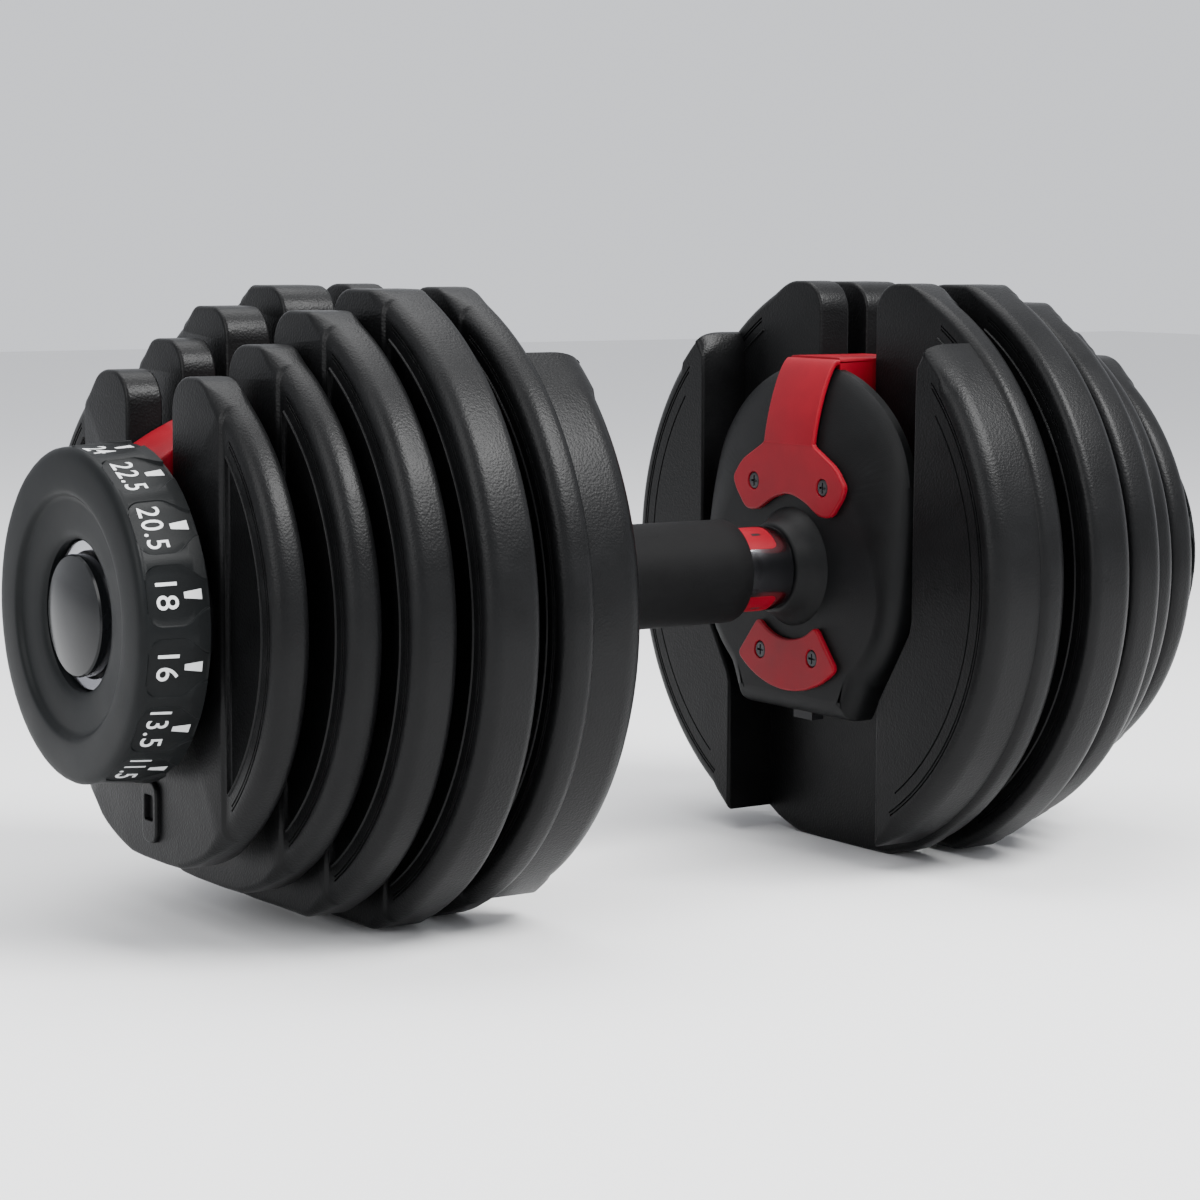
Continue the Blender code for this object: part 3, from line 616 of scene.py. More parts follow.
def weight_plate(number):
    """Plate with a proud band down its middle, sunk crescents, convex rims and round recesses."""
    inner, outer, r, top, bottom = plate_numbers(number)
    perimeter = whole_perimeter(r, top, bottom)
    column_drop = {round(y, 4): drop for y, drop in crease_columns()}
    drops = [CREASE_DROP if kind == "rim" else column_drop.get(round(abs(value), 4), 0.0)
             for _, kind, value in perimeter]
    bm = bmesh.new()
    rings = []
    widths, heights = edge_sizes(perimeter, INNER_WIDTH), edge_sizes(perimeter, INNER_HEIGHT)
    for step in range(ROUND_STEPS, -1, -1):
        angle = math.radians(90.0 * step / ROUND_STEPS)
        points = moved_in(perimeter, r, [w * (1 - math.cos(angle)) for w in widths])
        rings.append(ring(bm, points, [inner + h * (1 - math.sin(angle)) for h in heights]))
    widths, heights = edge_sizes(perimeter, RIM_WIDTH), edge_sizes(perimeter, RIM_HEIGHT)
    for step in range(ROUND_STEPS + 1):
        angle = math.radians(90.0 * step / ROUND_STEPS)
        points = moved_in(perimeter, r, [w * (1 - math.cos(angle)) for w in widths])
        xs = [outer - d - h * (1 - math.sin(angle)) for d, h in zip(drops, heights)]
        rings.append(ring(bm, points, xs))
    for a, b in zip(rings, rings[1:]):
        stitch(bm, a, b)
    mouths = []
    for side in (1, -1):
        for loop, steps in crescent_hollows(r, False):
            mouths.append(sink(bm, mirrored(loop, side), inner, 1, steps))
    cap(bm, [rings[0], *mouths])
    close_outer_face(bm, perimeter, rings[-1], r, outer)
    plate = mesh_from(bm, "weight_plate_%d" % number, PLATE_COAT)
    recess = circle(RECESS_R, 96)
    slabs = [(recess, outer - RECESS_DEPTH, outer + OVERRUN)]
    if PLATE_WEB[number - 1] > inner + 0.1:
        slabs.append((recess, inner - OVERRUN, PLATE_WEB[number - 1]))
    return cut(plate, slabs)


def close_outer_face(bm, perimeter, last, r, outer):
    """Flat band, crease strips and crescents with their hollows."""
    band = [vert for vert, (_, kind, value) in zip(last, perimeter)
            if kind == "band" or (kind == "column" and abs(value) == BAND_HALF)]
    cap(bm, [band])
    for side in (1, -1):
        chosen = [(vert, kind, point, value) for vert, (point, kind, value) in zip(last, perimeter)
                  if kind != "band" and point[0] * side > 0]
        uppers = sorted((c for c in chosen if c[1] == "column" and c[2][1] > 0), key=lambda c: abs(c[3]))
        lowers = sorted((c for c in chosen if c[1] == "column" and c[2][1] < 0), key=lambda c: abs(c[3]))
        for k in range(1, len(uppers)):
            bm.faces.new((uppers[k - 1][0], uppers[k][0], lowers[k][0], lowers[k - 1][0]))
        rim = sorted((c for c in chosen if c[1] == "rim"), key=lambda c: c[3])
        loop = [lowers[-1][0]] + [c[0] for c in rim] + [uppers[-1][0]]
        floor = outer - CREASE_DROP
        mouths = [sink(bm, mirrored(h, side), floor, -1, steps) for h, steps in crescent_hollows(r, True)]
        cap(bm, [loop, *mouths])


def frame_block(bm, side):
    """Raised part of the largest plate beside the end plate, with its grooves."""
    foot_angle = -math.degrees(math.acos(BLOCK_HALF_GAP_LOW / BLOCK_R))
    rim = arc((0, 0), BLOCK_R, foot_angle, BLOCK_TOP_ANGLE, 60)
    edge = [(59.4, 75.0), (57.9, 72.4), (57.1, 67.6), (56.8, 61.0), (BLOCK_HALF_GAP, 30.0)]
    edge += [(BLOCK_HALF_GAP, -13.0), (55.6, -17.0), (40.8, -40.5), (BLOCK_HALF_GAP_LOW, -44.0)]
    outline = rim + edge
    widths = [BLOCK_WIDTH] * len(rim) + [BLOCK_EDGE] * len(edge)
    heights = [BLOCK_HEIGHT] * len(rim) + [BLOCK_EDGE] * len(edge)
    blend = 4  # points at the rim's lower end over which its edge grows
    for k in range(blend):
        share = (k + 0.5) / (blend + 1)
        widths[k] = BLOCK_EDGE + (BLOCK_WIDTH - BLOCK_EDGE) * share
        heights[k] = BLOCK_EDGE + (BLOCK_HEIGHT - BLOCK_EDGE) * share
    for k in range(len(rim) - 5, len(rim) + 2):
        widths[k], heights[k] = BLOCK_TIP
    hollows = []
    for distance, start, end in BLOCK_GROOVES:
        loop = strip_loop(BLOCK_R - distance, GROOVE_HALF, start, end, 50)
        hollows.append((mirrored(loop, side), GROOVE_STEPS))
    if side < 0:
        outline, widths, heights = ([*reversed(v)] for v in (mirrored(outline, side), widths, heights))
    rounded_slab(bm, outline, PLATE_WEB[-1] + BLOCK_OVERLAP, BLOCK_X, widths, heights, hollows)


def largest_plate():
    """The fifth plate and its two blocks in one mesh."""
    bm = reopened(weight_plate(5))
    for side in (1, -1):
        frame_block(bm, side)
    return mesh_from(bm, "weight_plate_5", PLATE_COAT)


def smallest_plate():
    """The first plate with its lock mark, a raised stadium with a slot."""
    outer = plate_numbers(1)[1]
    bm = reopened(weight_plate(1))
    shape = rounded(rectangle(LOCK_HALF, *LOCK_Z), LOCK_CORNER, 6)
    slot = rounded(rectangle(LOCK_SLOT_HALF, *LOCK_SLOT_Z), LOCK_SLOT_CORNER, 3)
    hollow = (slot, ((0.2, 0.2), (0.4, 1.2), (0.5, 2.0)))
    rounded_slab(bm, shape, outer - 1.0, outer + LOCK_RISE, 0.7, 0.7, [hollow])
    return mesh_from(bm, "weight_plate_1", PLATE_COAT)


# ---------------------------- dial
def barrel_r(x):
    """Radius of the barrel between its pads, which narrows towards the shoulder."""
    share = (x - DIAL_BACK) / (SHOULDER_X - DIAL_BACK)
    return DIAL_R + (SHOULDER_R - DIAL_R) * share


def pad_half(x):
    """Half angle of a pad at x: corners rounded near the shoulder, drawn in towards the back edge."""
    neck = PAD_NECK * smooth((DIAL_BACK + NECK_LENGTH - x) / NECK_LENGTH)
    into_corner = max(0.0, x - (PAD_END_X - PAD_CORNER))
    round_off = PAD_CORNER - math.sqrt(max(0.0, PAD_CORNER ** 2 - into_corner ** 2))
    return PAD_HALF - neck - math.degrees(round_off / DIAL_R)


def pad_columns(x):
    """(angle, how far into the pad 0-1) across one pad pitch, starting half a pitch before its middle."""
    half = pad_half(x)
    marks = [(-PAD_STEP / 2, 0.0)]
    marks += [(-half - 0.35, 0.0), (-half - 0.1, 0.15), (-half + 0.15, 0.8), (-half + 0.4, 1.0)]
    marks += [(half * s, 1.0) for s in (-0.7, -0.35, 0.0, 0.35, 0.7)]
    marks += [(half - 0.4, 1.0), (half - 0.15, 0.8), (half + 0.1, 0.15), (half + 0.35, 0.0)]
    return marks


def barrel_ring(bm, x, depth_share):
    """One ring of the barrel, with flat pads sunk by this share of their depth."""
    points = []
    base = barrel_r(x)
    for pad in range(len(LABELS)):
        middle = PAD_FIRST - PAD_STEP * pad
        for angle, into in reversed(pad_columns(x)):
            flat = (base - PAD_SINK) / math.cos(math.radians(angle))
            radius = base + (flat - base) * into * depth_share
            turn = math.radians(middle + angle)
            points.append((radius * math.cos(turn), radius * math.sin(turn)))
    return ring(bm, points, x)


def dial():
    """Cup with numbered pads round its barrel, a soft shoulder, a dished face and a deep well."""
    bm = bmesh.new()
    stations = [(DIAL_BACK + 0.4, 1.0)]
    stations += [(DIAL_BACK + s, 1.0) for s in (0.9, 1.8, 2.7, 3.6, 4.5, 5.4, 6.3, 7.2, 8.1, 9.2, 10.6)]
    stations += [(PAD_END_X - PAD_CORNER * (1 - s), 1.0) for s in (0.0, 0.25, 0.45, 0.62, 0.76, 0.87, 0.95)]
    stations += [(PAD_END_X, 0.8), (PAD_END_X + 0.25, 0.15), (PAD_END_X + 0.5, 0.0)]
    barrel = [barrel_ring(bm, x, share) for x, share in stations]
    for a, b in zip(barrel, barrel[1:]):
        stitch(bm, a, b)
    angles = [math.atan2(vert.co.z, vert.co.y) for vert in barrel[-1]]
    shoulder = [(199.1, 48.15), (199.6, 47.65), (200.0, 46.95), (200.25, 46.1), (200.4, 45.0), (200.5, 43.5)]
    crest = [(200.58, 41.5), (200.6, 38.5), (200.5, 36.9), (200.42, 36.1)]
    step = [(200.2, 35.55), (199.8, 35.1), (199.3, 34.65), (199.0, 34.3), (198.8, 33.8)]
    dish = [(198.7, 33.0), (198.3, 28.5), (197.9, 25.2), (197.6, 23.8), (197.2, 22.9)]
    well = [(196.5, WELL_R), (WELL_FLOOR_X, WELL_R), (WELL_FLOOR_X, DIAL_BORE_R), (DIAL_BACK, DIAL_BORE_R)]
    cavity = [(DIAL_BACK, 13.0), (187.4, 14.0), (189.2, 42.0), (191.0, DIAL_CAVITY_R)]
    back = [(DIAL_BACK + 0.3, DIAL_CAVITY_R), (DIAL_BACK, DIAL_CAVITY_R + 0.3), (DIAL_BACK, 49.0)]
    previous = barrel[-1]
    for x, radius in shoulder + crest + step + dish + well + cavity + back:
        points = [(radius * math.cos(a), radius * math.sin(a)) for a in angles]
        current = ring(bm, points, x)
        stitch(bm, previous, current)
        previous = current
    stitch(bm, previous, barrel[0])
    return mesh_from(bm, "dial", DIAL_PLASTIC)


def glyphs(label):
    """Flat mesh of a label, in its own plane, centred on the origin and in millimetres."""
    curve = bpy.data.curves.new("label", "FONT")
    curve.body = label
    curve.size = 1.0
    curve.offset = 0.004
    curve.space_character = 1.12
    curve.resolution_u = 5
    obj = linked("label", curve)
    graph = bpy.context.evaluated_depsgraph_get()
    mesh = bpy.data.meshes.new_from_object(obj.evaluated_get(graph))
    bpy.data.objects.remove(obj)
    bpy.data.curves.remove(curve)
    xs, ys = [v.co.x for v in mesh.vertices], [v.co.y for v in mesh.vertices]
    tall, wide = max(ys) - min(ys), max(xs) - min(xs)
    scale = DIGIT_HEIGHT / tall
    across = min(scale, LABEL_WIDEST / wide)
    centre_x, centre_y = (max(xs) + min(xs)) / 2, (max(ys) + min(ys)) / 2
    places = [((v.co.x - centre_x) * across, (v.co.y - centre_y) * scale) for v in mesh.vertices]
    faces = [tuple(face.vertices) for face in mesh.polygons]
    bpy.data.meshes.remove(mesh)
    return places, faces


def print_on_pad(bm, places, faces, middle, centre_x):
    """Lays a flat mesh on the pad: its right runs downwards round the barrel, its top faces the plates."""
    turn = math.radians(middle)
    out = Vector((0, math.cos(turn), math.sin(turn)))
    along = Vector((0, math.sin(turn), -math.cos(turn)))
    layers = []
    for lift in (PRINT_LIFT - PRINT_THICKNESS * 2, PRINT_LIFT):
        layer = []
        for across, up in places:
            x = centre_x - up
            height = barrel_r(x) - PAD_SINK + lift
            layer.append(bm.verts.new(Vector((x, 0, 0)) + out * height + along * across))
        layers.append(layer)
    borders = {}
    for face in faces:
        bm.faces.new([layers[1][k] for k in face])
        bm.faces.new([layers[0][k] for k in reversed(face)])
        for a, b in zip(face, face[1:] + face[:1]):
            borders[(a, b)] = None
    for a, b in borders:
        if (b, a) not in borders:
            bm.faces.new((layers[1][b], layers[1][a], layers[0][a], layers[0][b]))


def dial_print():
    """White numbers and tapered ticks of all the pads."""
    bm = bmesh.new()
    length = TICK_X[1] - TICK_X[0]
    wide, narrow = TICK_HALF
    tick = [(-wide, length / 2), (-narrow, -length / 2), (narrow, -length / 2), (wide, length / 2)]
    for pad, label in enumerate(LABELS):
        middle = PAD_FIRST - PAD_STEP * pad
        places, faces = glyphs(label)
        print_on_pad(bm, places, faces, middle, DIGIT_X)
        print_on_pad(bm, tick, [(0, 1, 2, 3)], middle, sum(TICK_X) / 2)
    return mesh_from(bm, "dial_print", PRINT)


def dial_ring():
    """Silver ring in the dial's well, sloping down to its hole."""
    hole, edge = RING_R
    points = [(RING_X[0], hole), (RING_X[0], edge), (RING_X[2], edge), (RING_X[1], hole)]
    bm = bmesh.new()
    lathe(bm, rounded_profile(points, (0, 0, 0.6, 0.6)))
    return mesh_from(bm, "dial_ring", CHROME)


def dial_cap():
    """Domed cap, open at its back."""
    dome = [(DOME_X - DOME_DROP * (k / 10) ** DOME_POWER, DOME_R * k / 10) for k in range(11)]
    rim, inside, shoulder = CAP_X
    skirt = [(shoulder, CAP_R), (rim, CAP_R), (rim, CAP_WALL_R), (inside, CAP_WALL_R), (inside, 0)]
    bm = bmesh.new()
    lathe(bm, dome + skirt)
    return mesh_from(bm, "dial_cap", GLOSS)


# ---------------------------- frame
def frame_outline():
    """Round end plate that narrows smoothly at its sides, with a flat foot."""
    side_foot = (FRAME_FOOT_HALF + FOOT_OUT, FRAME_BOTTOM_Z + FOOT_UP - FRAME_CENTRE_Z)
    foot_angle = math.degrees(math.atan2(side_foot[1], side_foot[0]))
    half = [(0.0, FRAME_BOTTOM_Z), (FRAME_FOOT_HALF - 5, FRAME_BOTTOM_Z), (FRAME_FOOT_HALF, FRAME_BOTTOM_Z)]
    for y, z in arc((0, FRAME_CENTRE_Z), FRAME_R, foot_angle, 90, 44):
        share = (abs(y) / FRAME_SIDE_LIMIT) ** SIDE_POWER
        half.append((y * (1 + share) ** (-1 / SIDE_POWER), z))
    mirror = [(-y, z) for y, z in reversed(half[1:-1])]
    return rounded(half + mirror, 6.0, 2)


def end_plate():
    """Frame plate with a wide soft front edge, its cone boss and the lock pin's pocket."""
    bm = bmesh.new()
    outline = counter_clockwise(frame_outline())
    shares = [smooth((z - TOP_START_Z) / TOP_BLEND) for _, z in outline]
    widths = [FRAME_ROUNDING + (TOP_WIDTH - FRAME_ROUNDING) * s for s in shares]
    heights = [FRAME_ROUNDING + (TOP_HEIGHT - FRAME_ROUNDING) * s for s in shares]
    powers = [2.0 + (TOP_POWER - 2.0) * s for s in shares]
    rounded_slab(bm, outline, FRAME_BACK_X, FACE_X, widths, heights, (), powers)
    plate = mesh_from(bm, "end_plate", BLACK_PLASTIC)
    mouth, ledge, ceiling = POCKET_Z
    pocket = [(PIN_HALF, mouth), (PIN_HALF, ledge), (PIN_FLANGE_HALF, ledge), (PIN_FLANGE_HALF, ceiling)]
    pocket += mirrored(reversed(pocket), -1)
    tube_seat = (circle(TUBE_SEAT_R, 48), FACE_X - 6.0, FACE_X + 4.0)
    shaft_bore = (circle(SHAFT_BORE_R, 32), FACE_X, FRAME_BACK_X + 4.0)
    bm = reopened(cut(plate, [(pocket, *POCKET_X), tube_seat, shaft_bore]))
    boss = [(BOSS_X, TUBE_SEAT_R), (BOSS_X, 14.6), (57.7, 17.2), (60.9, 20.0), (BOSS_BACK_X, 20.0)]
    lathe(bm, rounded_profile(boss + [(BOSS_BACK_X, TUBE_SEAT_R)], (0.3, 0.9, 3.0, 0.8, 0, 0)))
    return mesh_from(bm, "end_plate", BLACK_PLASTIC)


def screw_seats(places):
    """Hollows round the screw heads."""
    return [(circle(SCREW_HEAD_R + 0.35, 28, place), ((0.15, 0.25), (0.25, 1.2))) for place in places]


def swept(bm, path, half, thickness, corner):
    """A rounded bar along a path in the XZ plane, lying on its inner side."""
    section = rounded(rectangle(half, 0, thickness), corner, 4)
    loops = []
    for k, (x, z) in enumerate(path):
        before, after = Vector(path[max(0, k - 1)]), Vector(path[min(len(path) - 1, k + 1)])
        along = (after - before).normalized()
        inward = Vector((along.y, -along.x))
        loop = []
        for y, depth in section:
            at = Vector((x, z)) + inward * depth
            loop.append(bm.verts.new((at.x, y, at.y)))
        loops.append(loop)
    for a, b in zip(loops, loops[1:]):
        stitch(bm, a, b)
    for end in (loops[0], loops[-1]):
        bm.faces.new(end)


def strap_path():
    """(x, z) points on the strap's face, which follows the end plate's sloping top edge."""
    slope = []
    for k in range(STRAP_STEPS + 1):
        across, down = edge_curve(1 - k / STRAP_STEPS, TOP_POWER)
        slope.append(Vector((FACE_X + TOP_HEIGHT * down, FRAME_CENTRE_Z + FRAME_R - TOP_WIDTH * across)))
    points = []
    for k, here in enumerate(slope):
        along = (slope[min(STRAP_STEPS, k + 1)] - slope[max(0, k - 1)]).normalized()
        points.append(tuple(here + Vector((-along.y, along.x)) * STRAP_RISE))
    return points


def tee(bm):
    """T-shaped bracket on the end plate's face, with its two screw seats."""
    half = [(BRIDGE_HALF, 41.4), (BRIDGE_HALF + 0.4, 40.6), (15.9, 39.3), (25.3, 34.3), (30.3, 28.2)]
    half += [(28.6, 24.3), (22.9, 17.6), (16.7, 17.7), (8.5, 22.3), (2.0, 24.1)]
    shape = rounded(half + mirrored(reversed(half), -1), 3.0, 5)
    rounded_slab(bm, shape, BRACKET_BACK_X, BRACKET_X, BRACKET_EDGE, BRACKET_EDGE, screw_seats(SCREWS[:2]))


def channel(bm):
    """Red channel over the selector discs, open below; its top falls towards the dial."""
    top = [(70.0, 69.4), (85.0, 69.4), (100.0, 69.4), (114.0, 67.2), (128.0, 64.5), (142.0, 61.0)]
    top += [(154.0, 57.0), (161.0, 54.2), (167.0, 51.4), (172.0, 48.6), (176.7, 45.6), (178.6, 43.2)]
    wall = BRIDGE_HALF - BRIDGE_WALL
    left, right = (-BRIDGE_HALF, WALL_FLOOR_Z), (BRIDGE_HALF, WALL_FLOOR_Z)
    loops = []
    for x, z in top:
        block = rounded(rectangle(BRIDGE_HALF, z - BRIDGE_DEPTH, z), BRIDGE_ROUND, 4)
        over = [(y, h) for y, h in block if h > z - 4]
        lid = z - BRIDGE_WALL
        under = [(-wall, WALL_FLOOR_Z), (-wall, lid), (wall, lid), (wall, WALL_FLOOR_Z)]
        loops.append(ring(bm, [right, *over, left, *under], x))
    for a, b in zip(loops, loops[1:]):
        stitch(bm, a, b)
    for end in (loops[0], loops[-1]):
        bm.faces.new(end)


def bridge():
    """Bracket, strap over the end plate, channel over the discs and leg behind the dial."""
    bm = bmesh.new()
    tee(bm)
    path = [(BRACKET_X + FLUSH, 36.0)] + [(x + FLUSH, z) for x, z in strap_path()]
    path += [(85.0, 69.2), (100.0, 69.4)]
    swept(bm, path, BRIDGE_HALF, STRAP_THICKNESS, STRAP_EDGE)
    channel(bm)
    leg = [(BRIDGE_HALF, 44.5), (-BRIDGE_HALF, 44.5), (-BRIDGE_HALF, 20.0)]
    leg += arc((0, 0), LEG_R, 180, 360, 24) + [(BRIDGE_HALF, 20.0)]
    bore = (circle(LEG_BORE_R, 40), ((0.0, LEG_BORE_DEPTH),))
    rounded_slab(bm, leg, *LEG_X, 0.6, 0.6, [bore])
    return mesh_from(bm, "bridge", RED_PLASTIC)


def lower_bracket():
    """Red crescent below the boss, with round corners."""
    near, far = LOWER_R
    far_start, near_start = LOWER_END - 8, LOWER_END - 12  # where the arcs give way to the tip
    tip = [at_angle(far, far_start), at_angle(far, LOWER_END), at_angle(near, LOWER_END)]
    tip.append(at_angle(near, near_start))
    steps = 5
    corners = rounded(tip, LOWER_CORNER, steps)[steps + 1:3 * (steps + 1)]
    half = arc((0, 0), far, -90, far_start, 14) + corners + arc((0, 0), near, near_start, -90, 10)
    shape = half + mirrored(reversed(half[1:-1]), -1)
    bm = bmesh.new()
    rounded_slab(bm, shape, BRACKET_BACK_X, BRACKET_X, BRACKET_EDGE, BRACKET_EDGE, screw_seats(SCREWS[2:]))
    return mesh_from(bm, "lower_bracket", RED_PLASTIC)


def screw():
    """Button-head screw with a cross recess."""
    bm = bmesh.new()
    near, far = 0.38, 1.75
    quarter = [(far, -near), (far, near), (near, near)]
    cross = []
    for turns in range(4):
        for y, z in quarter:
            for _ in range(turns):
                y, z = -z, y
            cross.append((y, z))
    recess = (cross, ((0.05, 0.1), (0.12, 0.9)))
    rounded_slab(bm, circle(SCREW_HEAD_R, 32), BRACKET_X + 1.1, BRACKET_X + 0.3, 0.6, 0.5, [recess])
    return mesh_from(bm, "bracket_screw", SCREW_BLACK)


def collar():
    """Plain metal sleeve beside the grip."""
    points = [(COLLAR_START, 12.8), (COLLAR_START, COLLAR_R), (COLLAR_END, COLLAR_R), (COLLAR_END, 12.8)]
    bm = bmesh.new()
    lathe(bm, rounded_profile(points, (0, 0.3, 0.4, 0)))
    return mesh_from(bm, "grip_collar", CHROME)


def collar_patch(bm, outline, low, high):
    """A thin patch on the collar, from (angle, x) points, between two radii."""
    rings = []
    for radius in (low, high):
        points = [at_angle(radius, a) for a, _ in outline]
        rings.append(ring(bm, points, [x for _, x in outline]))
    stitch(bm, *rings)
    for k in range(len(outline) // 2 - 1):
        for loop in rings:
            bm.faces.new((loop[k], loop[k + 1], loop[-k - 2], loop[-k - 1]))


def patch_outline(centre, half, start, end, corner):
    """(angle, x) points of a patch that is straight at its start and rounded at its end."""
    upper = []
    for k in range(WINDOW_STEPS + 1):
        angle = -half + 2 * half * k / WINDOW_STEPS
        into = max(0.0, abs(angle) - (half - corner))
        x = end - COLLAR_CORNER * (1 - math.sqrt(max(0.0, 1 - (into / corner) ** 2)))
        upper.append((centre + angle, x))
    return upper + [(a, start) for a, _ in reversed(upper)]


def collar_insert():
    """Red sleeve under the collar with its three window pads."""
    bm = bmesh.new()
    lathe(bm, [(COLLAR_START, 11.4), (COLLAR_START, 12.6), (WINDOW_END, 12.6), (WINDOW_END, 11.4)])
    for centre in WINDOW_CENTRES:
        pad = patch_outline(centre, WINDOW_HALF, COLLAR_START, WINDOW_END, WINDOW_CORNER)
        collar_patch(bm, pad, 13.2, COLLAR_R + 0.05)
    return mesh_from(bm, "collar_insert", RED_PLASTIC)


def painted_slot_shade():
    """Painted shade of the short slot in the middle of each window pad: a thin dark patch laid on the pad,
    with no opening cut.
    """
    bm = bmesh.new()
    for centre in WINDOW_CENTRES:
        slot_shade = patch_outline(centre, SLOT_SHADE_HALF, *SLOT_SHADE_X, SLOT_SHADE_CORNER)
        collar_patch(bm, slot_shade, 13.4, COLLAR_R + 0.09)
    return mesh_from(bm, "painted_slot_shade", SCREW_BLACK)


def lock_spring():
    """Round-wire coil spring."""
    bm = bmesh.new()
    per_turn, sides = 24, 8
    low, high = SPRING_Z[0] + SPRING_WIRE, SPRING_Z[1] - SPRING_WIRE
    count = per_turn * SPRING_TURNS
    loops = []
    for k in range(count + 1):
        turn = 2 * math.pi * k / per_turn
        out = Vector((math.cos(turn), math.sin(turn), 0))
        centre = Vector((SPRING_X, 0, low + (high - low) * k / count)) + out * SPRING_R
        around = [2 * math.pi * s / sides for s in range(sides)]
        loops.append([bm.verts.new(centre + (out * math.cos(a) + Vector((0, 0, math.sin(a)))) * SPRING_WIRE)
                      for a in around])
    for a, b in zip(loops, loops[1:]):
        stitch(bm, a, b)
    for end in (loops[0], loops[-1]):
        bm.faces.new(end)
    return mesh_from(bm, "lock_spring", STEEL)


def grip():
    """Matt rubber sleeve with rounded ends and a faint swell in the middle."""
    outer = []
    for k in range(13):
        x = -GRIP_END + 1.2 + (2 * GRIP_END - 2.4) * k / 12
        outer.append((x, GRIP_R + GRIP_SWELL * math.cos(math.pi * x / (2 * GRIP_END))))
    end = [(GRIP_END - 0.35, GRIP_R - 0.35), (GRIP_END, GRIP_R - 1.0), (GRIP_END, GRIP_BORE_R)]
    profile = [(-x, r) for x, r in reversed(end)] + outer + end
    bm = bmesh.new()
    lathe(bm, profile)
    return mesh_from(bm, "grip_sleeve", RUBBER)


# ---------------------------- assembly
def stand(name, mesh, turn, body, node, slot, offset=(0, 0, 0)):
    """One copy of a piece, turned about Z and riding on its body in place of its CAD node, if it has one."""
    piece = linked(name, mesh)
    end = Matrix.Translation((0, 0, AXIS_Z)) @ Matrix.Rotation(math.radians(turn), 4, "Z")
    piece.matrix_world = end @ Matrix.Translation(Vector(offset) * MM)
    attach(piece, body)
    if node:
        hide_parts(node)
    return piece


def build_object():
    """Draws each piece once and stands it at both ends."""
    plates = [smallest_plate()] + [weight_plate(n) for n in (2, 3, 4)] + [largest_plate()]
    fixed = [(plate, "weight_plate_%d" % n, "plate_coat") for n, plate in enumerate(plates, 1)]
    fixed += [(end_plate(), "end_plate", "black_plastic"), (bridge(), "bridge", "red_plastic")]
    fixed += [(lower_bracket(), "lower_bracket", "red_plastic"), (collar(), "grip_collar", "collar_metal")]
    fixed += [(collar_insert(), "collar_insert", "red_plastic")]
    turning = [(dial(), "dial", "dial_plastic"), (dial_ring(), "dial_ring", "chrome")]
    turning += [(dial_cap(), "dial_cap", "gloss_black")]
    marks, slots = dial_print(), painted_slot_shade()
    fastener, coil = screw(), lock_spring()
    for side, turn in SIDES:
        name = side + "_lock_spring"
        spring = stand(name + "_shown", coil, turn, "handle_and_plates", name, "steel")
        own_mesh(spring)
        for pieces, body in ((fixed, "handle_and_plates"), (turning, side + "_dial")):
            for mesh, part, slot in pieces:
                node = "%s_%s" % (side, part)
                stand(node + "_shown", mesh, turn, body, node, slot)
        stand(side + "_dial_numbers", marks, turn, side + "_dial", None, "dial_plastic")
        # dark patches that paint the shade of the slots in the collar's window pads
        stand(side + "_painted_slot_shade", slots, turn, "handle_and_plates", None, "red_plastic")
        for number, (y, z) in enumerate(SCREWS, 1):
            node = "%s_bracket_screw_%d" % (side, number)
            stand(node + "_shown", fastener, turn, "handle_and_plates", node, "black_steel", (0, y, z))
    stand("grip_shown", grip(), 0.0, "handle_and_plates", "grip", "grip_rubber")


def finish_cad_nodes():
    """Materials of the CAD nodes that stay in view."""
    looks = (("selector_disc", NYLON), ("index_wheel", NYLON), ("lock_pin", NYLON),
             ("drive_tube", STEEL), ("shaft_nut", STEEL), ("main_shaft", STEEL), ("handle_tube", STEEL))
    for name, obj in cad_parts.items():
        for part, look in looks:
            if part in name:
                for slot in obj.material_slots:
                    slot.material = look


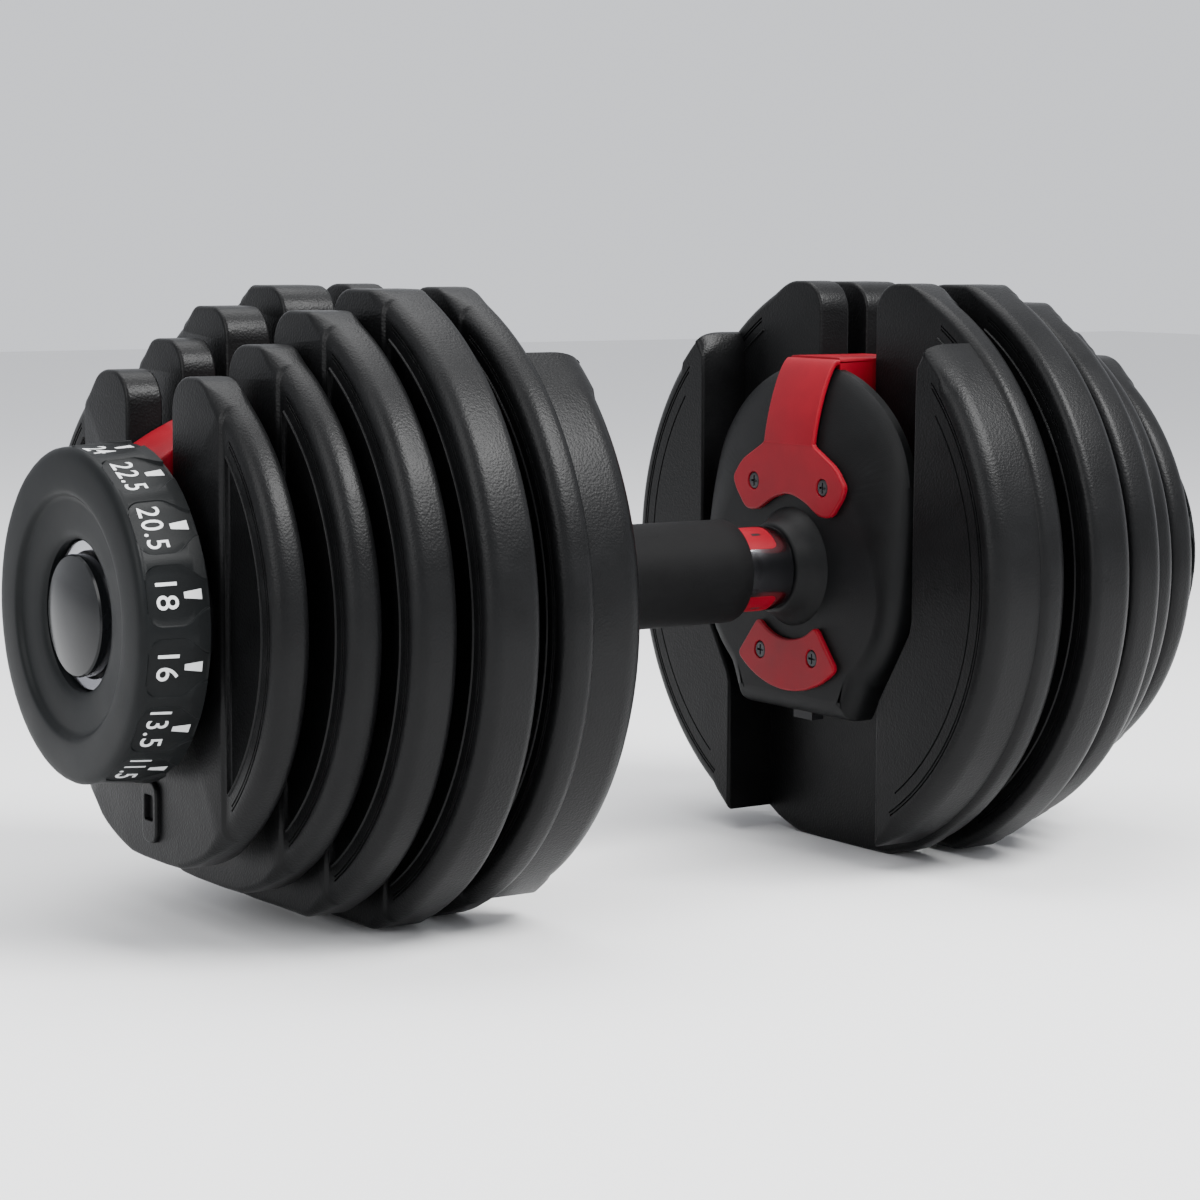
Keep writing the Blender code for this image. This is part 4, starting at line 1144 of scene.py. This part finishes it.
# ---------------------------- stage, light and camera
def plain_material(name, colour, roughness):
    look = bpy.data.materials.new(name)
    look.use_nodes = True
    shader = look.node_tree.nodes["Principled BSDF"]
    shader.inputs["Base Color"].default_value = (*colour, 1)
    shader.inputs["Roughness"].default_value = roughness
    return look


def area_light(name, place, target, size, power):
    data = bpy.data.lights.new(name, "AREA")
    data.shape = "RECTANGLE"
    data.size, data.size_y = size
    data.energy = power
    light = linked(name, data)
    light.location = place
    light.rotation_euler = (Vector(target) - Vector(place)).to_track_quat("-Z", "Y").to_euler()


def studio():
    """Pale floor, even sky and soft area lights that point at the grip."""
    bm = bmesh.new()
    bmesh.ops.create_grid(bm, x_segments=1, y_segments=1, size=FLOOR_HALF)
    mesh = bpy.data.meshes.new("floor")
    bm.to_mesh(mesh)
    bm.free()
    mesh.materials.append(plain_material("floor_paper", (FLOOR_GREY,) * 3, FLOOR_ROUGHNESS))
    floor = linked("floor", mesh)
    world = bpy.data.worlds.new("studio")
    world.use_nodes = True
    background = world.node_tree.nodes["Background"]
    background.inputs["Color"].default_value = (*SKY_COLOUR, 1)
    background.inputs["Strength"].default_value = SKY_STRENGTH
    bpy.context.scene.world = world
    for name, place, size, power in LIGHTS:
        area_light(name, place, (0, 0, AXIS_Z), size, power)


def camera():
    """Looks at the dumbbell from the photograph's angle."""
    a, e, r = map(math.radians, (CAMERA_AZIMUTH, CAMERA_ELEVATION, CAMERA_ROLL))
    back = Vector((math.sin(a) * math.cos(e), -math.cos(a) * math.cos(e), math.sin(e)))
    right = (-back).cross(Vector((0, 0, 1))).normalized()
    up = right.cross(-back)
    across = right * math.cos(r) + up * math.sin(r)
    upward = up * math.cos(r) - right * math.sin(r)
    place = Vector(CAMERA_TARGET) + Vector((0, 0, AXIS_Z)) + back * CAMERA_DISTANCE
    data = bpy.data.cameras.new("camera")
    data.sensor_width = 36.0
    data.lens = CAMERA_LENS
    data.clip_start = 0.01
    made = linked("camera", data)
    made.matrix_world = Matrix((
        (across.x, upward.x, back.x, place.x),
        (across.y, upward.y, back.y, place.y),
        (across.z, upward.z, back.z, place.z),
        (0, 0, 0, 1),
    ))
    bpy.context.scene.camera = made


build_object()
finish_cad_nodes()
studio()
camera()
